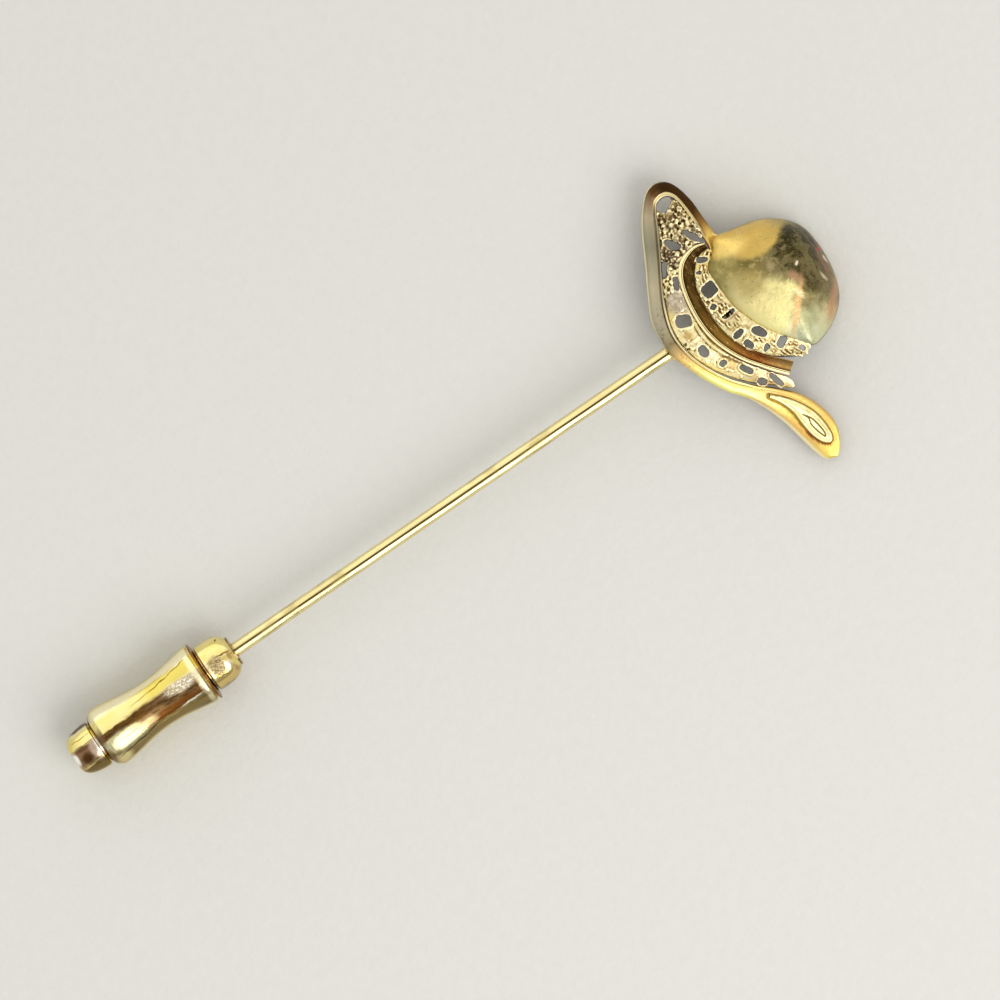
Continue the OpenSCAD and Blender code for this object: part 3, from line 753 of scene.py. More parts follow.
class Finish(Nodes):
    """Nodes of a piece's finish, with patches and grain at places on it in millimetres."""

    def __init__(self, name, roughness, metallic=1.0):
        self.material = bpy.data.materials.new(name)
        super().__init__(self.material)
        out = self.node("ShaderNodeOutputMaterial")
        self.metal = self.node("ShaderNodeBsdfPrincipled")
        self.metal.inputs["Metallic"].default_value = metallic
        self.metal.inputs["Roughness"].default_value = roughness
        self.feed(out.inputs[0], self.metal.outputs[0])
        where = self.node("ShaderNodeTexCoord")
        place = self.node("ShaderNodeMapping")
        place.inputs["Scale"].default_value = (1 / MM, 1 / MM, 1 / MM)
        place.inputs["Location"].default_value = -HEAD_PLACE
        self.feed(place.inputs["Vector"], where.outputs["Object"])
        self.place = place.outputs[0]
        self.wavy = self.place

    def waves(self, amount, size):
        """Bends the outlines of the patches that follow."""
        noise_node = self.node("ShaderNodeTexNoise")
        noise_node.inputs["Scale"].default_value = 1 / size
        noise_node.inputs["Detail"].default_value = 3
        self.feed(noise_node.inputs["Vector"], self.place)
        centred = self.node("ShaderNodeVectorMath", operation="SUBTRACT")
        self.feed(centred.inputs[0], noise_node.outputs["Color"])
        centred.inputs[1].default_value = (0.5, 0.5, 0.5)
        scaled = self.node("ShaderNodeVectorMath", operation="SCALE")
        self.feed(scaled.inputs[0], centred.outputs[0])
        scaled.inputs["Scale"].default_value = amount * 2
        moved = self.node("ShaderNodeVectorMath", operation="ADD")
        self.feed(moved.inputs[0], self.place)
        self.feed(moved.inputs[1], scaled.outputs[0])
        self.wavy = moved.outputs[0]

    def patch(self, x, y, long, wide, turn, soft, square=False, straight=False):
        """Mask of an ellipse or a box in the pin's plane, given by its middle and half sizes."""
        own = self.node("ShaderNodeMapping", vector_type="TEXTURE")
        own.inputs["Location"].default_value = (x, y, 0)
        own.inputs["Rotation"].default_value = (0, 0, math.radians(turn))
        own.inputs["Scale"].default_value = (long, wide, 1e4)
        self.feed(own.inputs["Vector"], self.place if straight else self.wavy)
        if square:
            sides = self.node("ShaderNodeVectorMath", operation="ABSOLUTE")
            self.feed(sides.inputs[0], own.outputs[0])
            parts = self.node("ShaderNodeSeparateXYZ")
            self.feed(parts.inputs[0], sides.outputs[0])
            reach = self.math("MAXIMUM", parts.outputs[0], parts.outputs[1])
        else:
            length = self.node("ShaderNodeVectorMath", operation="LENGTH")
            self.feed(length.inputs[0], own.outputs[0])
            reach = length.outputs["Value"]
        return self.ramped(reach, 1 + soft, 1 - soft)

    def grain(self, size, low, high, detail=3.0, stretch=(1, 1, 1), turn=0):
        """Mask from noise of a size in millimetres."""
        own = self.node("ShaderNodeMapping")
        own.inputs["Rotation"].default_value = (0, 0, math.radians(turn))
        own.inputs["Scale"].default_value = stretch
        self.feed(own.inputs["Vector"], self.place)
        noise_node = self.node("ShaderNodeTexNoise")
        noise_node.inputs["Scale"].default_value = 1 / size
        noise_node.inputs["Detail"].default_value = detail
        self.feed(noise_node.inputs["Vector"], own.outputs[0])
        return self.ramped(noise_node.outputs["Fac"], low, high)

    def pits(self, size, reach):
        """Mask of scattered small pits."""
        cells = self.node("ShaderNodeTexVoronoi")
        cells.inputs["Scale"].default_value = 1 / size
        self.feed(cells.inputs["Vector"], self.place)
        return self.ramped(cells.outputs["Distance"], reach, reach * 0.5)

    def mark(self, name):
        """Number that the modelling stored at each point of the piece."""
        made = self.node("ShaderNodeAttribute", attribute_name=name)
        return made.outputs["Fac"]

    def upright(self, low, high):
        """Mask of what faces up."""
        side = self.node("ShaderNodeNewGeometry")
        parts = self.node("ShaderNodeSeparateXYZ")
        self.feed(parts.inputs[0], side.outputs["Normal"])
        return self.ramped(parts.outputs[2], low, high)

    def painted(self, shade, patches, within=None, square=False):
        """Colour with a table of patches painted over it in order, all of them within a mask."""
        for row in patches:
            spot = Patch(*row)
            mask = self.patch(spot.x, spot.y, spot.long, spot.wide, spot.turn, spot.soft, square)
            if within is not None:
                mask = self.both(mask, within)
            shade = self.blend(shade, spot.colour, mask, spot.share)
        return shade

    def colour(self, value):
        """Sets the colour."""
        self.feed(self.metal.inputs["Base Color"], value)

    def roughened(self, mask, low, high):
        """Sets the roughness, from low to high by a mask."""
        self.feed(self.metal.inputs["Roughness"], self.ramped(mask, 0, 1, low, high))

    def bumped(self, height, depth):
        """Relief too fine for the mesh, its depth in millimetres."""
        bump = self.node("ShaderNodeBump")
        bump.inputs["Strength"].default_value = 1
        bump.inputs["Distance"].default_value = depth * MM
        self.feed(bump.inputs["Height"], height)
        self.feed(self.metal.inputs["Normal"], bump.outputs[0])


def crown_finish(gold):
    """Crown gilding, worn and tarnished, with painted reflections of the room: yellow at the left,
    mottled and dark at the top, green-gold below.
    """
    gilt = Finish("Worn crown gilding and painted reflections", 0.42)
    gilt.waves(0.2, 0.9)
    shade = gilt.blend(tone(160, 146, 90), tone(136, 124, 74), gilt.grain(0.9, 0.4, 0.65))
    # Patches of tarnish mixed with painted reflections of the room: dark at the top, green-gold and
    # pale below, with a painted highlight at the lower right and darker patches that dim it
    patches = (
        (7.9, -1.7, 2.6, 1.9, 24, 0.3, tone(236, 226, 160), 1),
        (6.9, -0.2, 1.4, 1.7, 10, 0.5, tone(226, 212, 150), 0.85),
        (8.3, -0.4, 1.0, 0.8, 30, 0.5, tone(226, 214, 152), 0.8),
        (9.1, -4.1, 1.9, 1.35, 10, 0.3, tone(222, 224, 184), 1),
        (10.3, -4.2, 0.6, 1.0, 20, 0.5, tone(230, 220, 172), 0.6),
        (8.6, -4.1, 0.5, 1.2, -15, 0.6, tone(160, 164, 132), 0.85),
        (9.3, -3.1, 0.9, 0.8, 0, 0.6, tone(172, 170, 126), 0.75),
        (9.65, -2.3, 0.45, 0.7, 20, 0.6, tone(128, 118, 80), 0.85),
        (8.4, 1.8, 1.4, 1.0, 0, 0.5, tone(112, 97, 54), 0.7),
        (7.4, 0.8, 1.0, 0.9, 0, 0.6, tone(172, 154, 96), 0.8),
        (9.6, 0.9, 0.9, 1.0, 0, 0.5, tone(132, 118, 82), 0.9),
        (11.4, 0.3, 1.5, 2.9, 0, 0.3, tone(84, 76, 48), 1),
        (11.3, 1.6, 1.3, 1.1, 10, 0.35, tone(60, 53, 26), 0.95),
        (11.6, -1.0, 0.8, 1.4, 8, 0.5, tone(104, 94, 62), 0.8),
        (12.0, -2.7, 0.75, 0.9, 20, 0.5, tone(150, 134, 96), 0.9),
        (11.0, -3.1, 0.6, 0.9, 30, 0.5, tone(172, 164, 120), 0.8),
        (11.1, -3.8, 0.5, 0.6, 30, 0.6, tone(238, 214, 164), 0.8),
        (10.35, -1.6, 0.4, 0.6, 0, 0.6, tone(100, 88, 54), 0.8),
        (11.75, -0.6, 0.3, 1.2, 0, 0.6, tone(146, 130, 90), 0.7),
        (11.75, 1.2, 0.3, 0.6, 0, 0.6, tone(126, 118, 78), 0.7),
        (10.2, 1.3, 0.5, 0.8, 30, 0.6, tone(84, 74, 44), 0.7),
    )
    shade = gilt.painted(shade, patches)
    cloudy = gilt.both(gilt.grain(0.4, 0.5, 0.64, 4), gilt.patch(7.6, 1.6, 2.4, 1.7, 0, 0.3))
    shade = gilt.blend(shade, tone(190, 176, 122), cloudy, 0.5)
    # Streaks, blotches, wavy dark lines and fine mottle in the dark top: painted reflection of the room
    # mixed with tarnish
    reflection_streaks = gilt.both(
        gilt.grain(0.3, 0.5, 0.64, 4, (0.8, 0.4, 1), 20),
        gilt.patch(11.2, 0.5, 1.6, 3.0, 0, 0.35),
    )
    shade = gilt.blend(shade, tone(44, 40, 20), reflection_streaks, 0.6)
    dark_reflection = gilt.patch(11.2, 0.2, 2.0, 3.6, 0, 0.3)
    reflection_blotches = gilt.both(gilt.grain(0.55, 0.48, 0.6, 5, (0.7, 1, 1)), dark_reflection)
    shade = gilt.blend(shade, tone(128, 117, 80), reflection_blotches, 0.75)
    wavy_line_zone = gilt.patch(11.2, 1.9, 1.6, 0.9, 0, 0.4)
    wavy_dark_lines = gilt.both(gilt.grain(0.32, 0.52, 0.6, 4, (0.45, 1, 1)), wavy_line_zone)
    shade = gilt.blend(shade, tone(40, 36, 16), wavy_dark_lines, 0.8)
    pale_mottle = gilt.both(gilt.grain(0.16, 0.52, 0.64), dark_reflection)
    shade = gilt.blend(shade, tone(134, 124, 88), pale_mottle, 0.3)
    dark_mottle = gilt.both(gilt.grain(0.11, 0.54, 0.64), dark_reflection)
    shade = gilt.blend(shade, tone(48, 42, 22), dark_mottle, 0.35)
    # Painted glints and highlights, with a pink painted streak of reflected light
    glints_and_streaks = (
        (9.0, -2.55, 0.2, 1.95, -42, 0.8, tone(226, 182, 128), 0.85),
        (10.2, -0.5, 0.25, 0.42, 30, 0.7, tone(206, 154, 126), 0.5),
        (9.75, -1.6, 0.16, 0.5, 20, 0.7, tone(238, 214, 168), 0.8),
        (11.75, -3.3, 1.5, 0.26, 44, 0.7, tone(206, 156, 116), 0.8),
        (12.45, -1.2, 0.2, 1.0, -5, 0.7, tone(168, 120, 96), 0.5),
        (10.85, 0.15, 0.14, 0.1, 20, 0.6, tone(250, 232, 205), 1),
        (12.0, -1.65, 0.12, 0.35, 10, 0.6, tone(226, 214, 180), 0.8),
        (9.2, 1.0, 0.25, 0.3, 0, 0.6, tone(176, 160, 124), 0.6),
    )
    shade = gilt.painted(shade, glints_and_streaks)
    # The yellow left side: painted reflection on the polished gold, with darker painted shade in two
    # patches
    bright_reflection_side = gilt.math(
        "MAXIMUM",
        gilt.patch(9.8, 6.4, 5.2, 3.75, -3, 0.08),
        gilt.patch(9.5, 3.75, 2.2, 1.75, 0, 0.13),
    )
    polished = gilt.blend(tone(*gold), tone(242, 212, 128), gilt.grain(1.4, 0.35, 0.7))
    dimmed = gilt.patch(12.4, 3.0, 1.4, 0.7, -20, 0.5)
    polished = gilt.blend(polished, tone(178, 156, 92), dimmed, 0.8)
    shaded = gilt.patch(9.0, 2.5, 2.2, 0.7, 0, 0.6)
    polished = gilt.blend(polished, tone(186, 158, 86), shaded, 0.75)
    shade = gilt.blend(shade, polished, bright_reflection_side)
    facing = gilt.upright(0.12, 0.34)
    # Painted reflections on the steep top rim: a black arc, a red spot and a white glint, then red
    # flecks
    rim_reflections = (
        (12.84, 1.05, 0.22, 0.85, 6, 0.35, tone(20, 15, 12), 1),
        (12.8, 0.15, 0.2, 0.16, 0, 0.5, tone(176, 60, 56), 1),
        (12.82, -0.75, 0.08, 0.35, -6, 0.5, tone(255, 244, 220), 1),
    )
    shade = gilt.painted(shade, rim_reflections, facing)
    red_reflection_flecks = gilt.both(gilt.patch(12.95, 0.1, 0.22, 1.5, 0, 0.4), gilt.grain(0.22, 0.42, 0.6))
    shade = gilt.blend(shade, tone(186, 60, 60), gilt.both(gilt.scaled(red_reflection_flecks, 0.4), facing))
    specks = gilt.both(gilt.pits(0.17, 0.24), gilt.grain(0.7, 0.44, 0.56))
    shade = gilt.blend(shade, tone(62, 50, 28), specks, 0.75)
    run = gilt.mark("along")
    # Painted shade along the crown's foot where it meets the hatband, but not at the neck
    foot_shade = gilt.both(gilt.ramped(run, 0.3, 0.32), gilt.ramped(run, 0.42, 0.37))
    off_neck = gilt.patch(7.2, 4.9, 1.1, 1.0, 0, 0.3)
    foot_shade = gilt.both(foot_shade, gilt.ramped(off_neck, 1, 0))
    shade = gilt.blend(shade, tone(122, 104, 48), foot_shade, 0.85)
    gilt.colour(shade)
    gilt.roughened(gilt.grain(0.5, 0.3, 0.7, 4), 0.36, 0.5)
    gilt.bumped(gilt.grain(0.3, 0.2, 0.8, 5), 0.012)
    return gilt


def edge_finish(back):
    """Gilding of the rolled edge, its colours partly painted reflections: brown at the wing, grey at
    the front, yellow towards the tail; with painted highlights and painted shade on its lines.
    """
    gilt = Finish("Brim edge gilding", 0.4)
    gilt.waves(0.15, 0.6)
    # Colours along the edge: painted reflections over the gilding's own tone
    run = gilt.along(
        gilt.mark("along"),
        [
            (0.0, tone(228, 196, 112)), (0.04, tone(216, 180, 102)), (0.075, tone(150, 112, 58)),
            (0.11, tone(72, 48, 22)), (0.17, tone(64, 42, 19)), (0.22, tone(54, 36, 18)),
            (0.265, tone(84, 58, 34)), (0.295, tone(140, 120, 92)), (0.33, tone(172, 160, 134)),
            (0.38, tone(140, 135, 114)), (0.43, tone(178, 168, 142)), (0.50, tone(168, 160, 138)),
            (0.54, tone(146, 132, 98)), (0.575, tone(232, 196, 128)), (0.61, tone(248, 226, 140)),
            (0.65, tone(252, 248, 150)), (0.70, tone(252, 246, 152)), (0.745, tone(248, 232, 142)),
            (0.785, tone(224, 194, 126)), (0.84, tone(226, 192, 112)), (0.90, tone(230, 198, 114)),
            (0.95, tone(236, 208, 112)), (1.0, tone(236, 214, 116)),
        ],
    )
    mottled = gilt.blend(run, tone(118, 96, 60), gilt.grain(0.3, 0.52, 0.66, 4), 0.5)
    shade = gilt.blend(run, mottled, gilt.patch(0.9, 0.6, 1.6, 2.6, 0, 0.4))
    speckle = gilt.both(gilt.pits(0.16, 0.22), gilt.patch(3.6, -5.7, 0.9, 0.55, 30, 0.4))
    shade = gilt.blend(shade, tone(130, 84, 40), speckle, 0.7)
    # Orange-brown painted shade below the tail's loop and at its end
    tail_shade = (
        (4.8, -9.4, 0.28, 1.7, 10, 0.6, tone(226, 176, 98), 0.8),
        (6.1, -11.4, 0.4, 0.24, 10, 0.6, tone(196, 140, 76), 0.6),
        (6.75, -8.8, 0.16, 1.6, 10, 0.7, tone(214, 160, 90), 0.4),
    )
    shade = gilt.painted(shade, tail_shade)
    # Painted highlights on the lip, the bead and the raised fill in the tail's loop, and painted shade
    # in the grooves
    shade = gilt.blend(shade, tone(252, 240, 196), gilt.mark("lip"))
    shade = gilt.blend(shade, tone(250, 240, 204), gilt.mark("bead"))
    shade = gilt.blend(shade, tone(70, 52, 26), gilt.mark("groove"), 0.9)
    shade = gilt.blend(shade, tone(250, 241, 190), gilt.mark("fill_highlight"))
    # Painted shade round the tail's loop: olive, and red-brown at the loop's end
    outline = gilt.blend(tone(116, 98, 34), tone(106, 60, 16), gilt.patch(5.3, -10.9, 0.9, 1.3, 0, 0.4))
    shade = gilt.blend(shade, outline, gilt.mark("contact_shade"), 0.95)
    shade = gilt.blend(tone(*back), shade, gilt.upright(-0.2, 0.1))
    gilt.colour(shade)
    gilt.roughened(gilt.grain(0.6, 0.3, 0.7, 4), 0.36, 0.5)
    gilt.bumped(gilt.grain(0.35, 0.2, 0.8, 4), 0.01)
    return gilt


def loop_finish(name, pale, deep):
    """Gilding of a raised loop on the tail: bright with a painted highlight on the large one, dark
    olive as a painted shadow line on the small eye, with painted shade on the sides.
    """
    gilt = Finish(name, 0.4)
    shade = gilt.blend(tone(*pale), tone(*deep), gilt.grain(0.5, 0.45, 0.65))
    # Painted shade on the wire's sides
    shade = gilt.blend(tone(112, 94, 42), shade, gilt.upright(0.2, 0.5))
    gilt.colour(shade)
    gilt.roughened(gilt.grain(0.3, 0.3, 0.7), 0.38, 0.48)
    return gilt


def lace_finish(cream):
    """Cast lace: cream painted highlights on the grains, brown painted shade in the crevices and on the
    wing, dull grey where it is worn smooth.
    """
    gilt = Finish("Cast lace gilding", 0.3)
    gilt.waves(0.25, 0.5)
    high = gilt.blend(tone(*cream), tone(232, 214, 150), gilt.grain(0.8, 0.42, 0.66))
    shadow = gilt.patch(3.5, -2.85, 1.0, 0.14, -52, 0.5)
    high = gilt.blend(high, tone(128, 98, 48), shadow)
    hollow = gilt.mark("hollow")
    # On the left wing: mid-brown painted shade between the nuggets and round the holes, cream painted
    # highlights on the nuggets
    wing = gilt.patch(5.0, 6.8, 2.4, 2.9, 0, 0.3)
    wing_shade = gilt.blend(tone(164, 146, 104), tone(116, 100, 70), gilt.grain(0.8, 0.42, 0.62))
    wing_shade = gilt.blend(wing_shade, tone(96, 76, 58), gilt.patch(4.2, 5.4, 1.0, 0.9, 0, 0.4))
    nuggets = gilt.both(gilt.ramped(hollow, 0.51, 0.44), gilt.grain(0.6, 0.42, 0.54))
    high = gilt.blend(high, gilt.blend(wing_shade, tone(242, 226, 180), nuggets), wing)
    grey = gilt.blend(tone(206, 192, 168), tone(172, 158, 136), gilt.grain(0.4, 0.4, 0.6))
    # A grey worn patch, and darker patches of painted shade
    worn_and_shaded = (
        (2.55, 2.6, 0.85, 1.0, 25, 0.5, grey, 1),
        (4.6, -5.3, 1.5, 1.1, 30, 0.4, tone(206, 172, 122), 0.6),
        (3.3, -3.1, 0.5, 0.5, 0, 0.6, tone(172, 142, 88), 0.85),
        (1.8, 0.15, 0.25, 0.4, 0, 0.5, tone(190, 158, 98), 0.8),
    )
    high = gilt.painted(high, worn_and_shaded)
    # Painted shade in the crevices, darker in the deep ones, a painted highlight on the tops, and
    # painted shade on steep sides and hole walls
    shade = gilt.blend(high, tone(110, 90, 56), gilt.ramped(hollow, 0.51, 0.6))
    shade = gilt.blend(shade, tone(52, 38, 22), gilt.ramped(hollow, 0.58, 0.74))
    shade = gilt.blend(shade, tone(250, 238, 200), gilt.ramped(hollow, 0.44, 0.3), 0.5)
    shade = gilt.blend(tone(60, 40, 20), shade, gilt.upright(0.05, 0.5))
    gilt.colour(shade)
    gilt.roughened(gilt.grain(0.4, 0.3, 0.7, 4), 0.28, 0.44)
    gilt.bumped(gilt.grain(0.12, 0.3, 0.7, 3), 0.01)
    return gilt


def ribbon_finish():
    """Smooth ribbon: olive-brown at the left, orange-brown and tan at the right, cream rim lines."""
    gilt = Finish("Ribbon gilding", 0.42)
    gilt.waves(0.12, 0.7)
    run = gilt.along(
        gilt.mark("along"),
        [
            (0.0, tone(70, 52, 26)), (0.2, tone(66, 48, 20)), (0.4, tone(78, 57, 22)),
            (0.55, tone(104, 76, 30)), (0.66, tone(138, 106, 46)), (0.75, tone(136, 88, 38)),
            (0.83, tone(122, 68, 28)), (0.90, tone(138, 104, 58)), (1.0, tone(140, 116, 66)),
        ],
    )
    drawn = gilt.grain(0.2, 0.4, 0.65, 4, (1.2, 0.25, 1))
    shade = gilt.blend(run, tone(150, 112, 58), drawn, 0.3)
    across = gilt.mark("across")
    shade = gilt.blend(shade, tone(250, 236, 186), gilt.ramped(across, 0.72, 0.75))
    line = gilt.both(gilt.ramped(across, 0.785, 0.8), gilt.ramped(across, 0.84, 0.825))
    shade = gilt.blend(shade, tone(140, 118, 66), line)
    scratch = gilt.grain(0.09, 0.66, 0.7, 2, (1.5, 0.2, 1))
    shade = gilt.blend(shade, tone(236, 204, 140), scratch, 0.6)
    # Painted shade on the ribbon's steep sides
    shade = gilt.blend(tone(110, 76, 34), shade, gilt.upright(0.0, 0.3))
    gilt.colour(shade)
    gilt.roughened(gilt.grain(0.3, 0.3, 0.7, 4, (1.2, 0.25, 1)), 0.4, 0.52)
    gilt.bumped(drawn, 0.008)
    return gilt


def hatband_finish(cream):
    """Cast hatband: pale gold, with painted shade as dark lines between its prongs and painted
    highlights on its tops.
    """
    gilt = Finish("Hatband gilding", 0.28)
    gilt.waves(0.2, 0.5)
    high = gilt.blend(tone(236, 220, 166), tone(*cream), gilt.grain(0.4, 0.5, 0.7))
    high = gilt.blend(high, tone(196, 170, 110), gilt.grain(0.3, 0.48, 0.64))
    left = gilt.patch(5.6, 3.9, 1.0, 0.9, 0, 0.5)
    high = gilt.blend(high, tone(216, 190, 112), left, 0.7)
    slit = gilt.patch(5.0, -0.4, 0.6, 0.1, 4, 0.5)
    high = gilt.blend(high, tone(166, 120, 84), slit, 0.7)
    hollow = gilt.mark("hollow")
    # Painted shade in the crevices, darker in the deep ones, a painted highlight on the tops, and
    # painted shade on steep sides and hole walls
    shade = gilt.blend(high, tone(120, 88, 40), gilt.ramped(hollow, 0.5, 0.58))
    shade = gilt.blend(shade, tone(46, 30, 14), gilt.ramped(hollow, 0.55, 0.68))
    shade = gilt.blend(shade, tone(255, 246, 208), gilt.ramped(hollow, 0.46, 0.34), 0.75)
    shade = gilt.blend(tone(56, 38, 18), shade, gilt.upright(0.05, 0.5))
    gilt.colour(shade)
    gilt.roughened(gilt.grain(0.4, 0.3, 0.7, 4), 0.22, 0.36)
    gilt.bumped(gilt.grain(0.12, 0.3, 0.7, 3), 0.008)
    return gilt


def stem_finish(gold):
    """Drawn wire: pale gold with fine lines along it, and a dark painted reflection along its top."""
    gilt = Finish("Drawn stem wire", 0.2)
    lines = gilt.grain(0.12, 0.35, 0.7, 3, (0.03, 1, 1))
    shade = gilt.blend(tone(*gold), tone(226, 210, 150), lines)
    # Dark painted reflection along the top of the wire
    along = gilt.patch(-18, -0.02, 40, 0.08, 0, 0.5, square=True, straight=True)
    middle = gilt.both(along, gilt.upright(0.5, 0.9))
    shade = gilt.blend(shade, tone(78, 60, 24), middle, 0.95)
    dull = gilt.grain(2.0, 0.5, 0.7, 3)
    shade = gilt.blend(shade, tone(176, 160, 104), dull, 0.5)
    gilt.colour(shade)
    gilt.roughened(lines, 0.16, 0.3)
    gilt.bumped(lines, 0.006)
    return gilt


def collar_finish(gold):
    """Collar: polished yellow at the left and olive at the right, both painted reflections, a grey
    rubbed patch in the middle, painted highlights, and painted shade at the mouth.
    """
    gilt = Finish("Collar gilding", 0.16)
    gilt.waves(0.14, 0.4)
    shade = gilt.blend(tone(*gold), tone(236, 216, 134), gilt.grain(0.7, 0.4, 0.65))
    top = gilt.upright(0.1, 0.4)
    # Olive right side, dark at its far edge: painted reflection
    right = gilt.patch(-38, -1.45, 3, 0.42, 0, 0.4, square=True)
    shade = gilt.blend(shade, tone(210, 184, 118), right, 0.9)
    far_right = gilt.patch(-38, -1.85, 3, 0.18, 0, 0.6, square=True)
    shade = gilt.blend(shade, tone(112, 92, 50), far_right, 0.8)
    worn = gilt.patch(-38.05, -0.24, 0.56, 0.72, 0, 0.3)
    rubbed = gilt.both(worn, top)
    scuffs = gilt.grain(0.1, 0.4, 0.62, 3, (0.6, 1, 1))
    grey = gilt.blend(tone(190, 172, 132), tone(118, 98, 66), scuffs)
    shade = gilt.blend(shade, grey, rubbed, 0.95)
    # A pit, a white and a cream painted highlight, and dark and brown lines of painted reflection
    lines = (
        (-37.2, 1.33, 0.1, 0.05, 60, 0.4, tone(60, 36, 14), 1),
        (-37.3, -0.5, 0.26, 0.32, 20, 0.4, tone(236, 222, 184), 1),
        (-37.3, 0.26, 0.5, 0.06, -6, 0.4, tone(112, 74, 32), 0.9),
        (-38.6, 0.3, 0.3, 0.04, 0, 0.4, tone(150, 112, 56), 0.7),
        (-38.05, -1.0, 0.5, 0.035, -3, 0.4, tone(130, 100, 54), 0.8),
        (-38.68, -0.2, 0.1, 0.8, 0, 0.4, tone(252, 242, 206), 0.8),
        (-37.0, -1.05, 0.16, 0.26, 0, 0.4, tone(168, 128, 74), 0.6),
        (-36.96, -0.1, 0.14, 0.4, 0, 0.4, tone(176, 130, 70), 0.7),
    )
    shade = gilt.painted(shade, lines, top)
    # Painted shade round the mouth
    mouth = gilt.patch(-36.56, 0, 0.1, 3, 0, 0.3, square=True, straight=True)
    shade = gilt.blend(shade, tone(104, 74, 38), mouth, 0.85)
    gilt.colour(shade)
    gilt.roughened(rubbed, 0.14, 0.42)
    gilt.bumped(gilt.both(gilt.grain(0.1, 0.3, 0.7, 3), rubbed), 0.02)
    return gilt


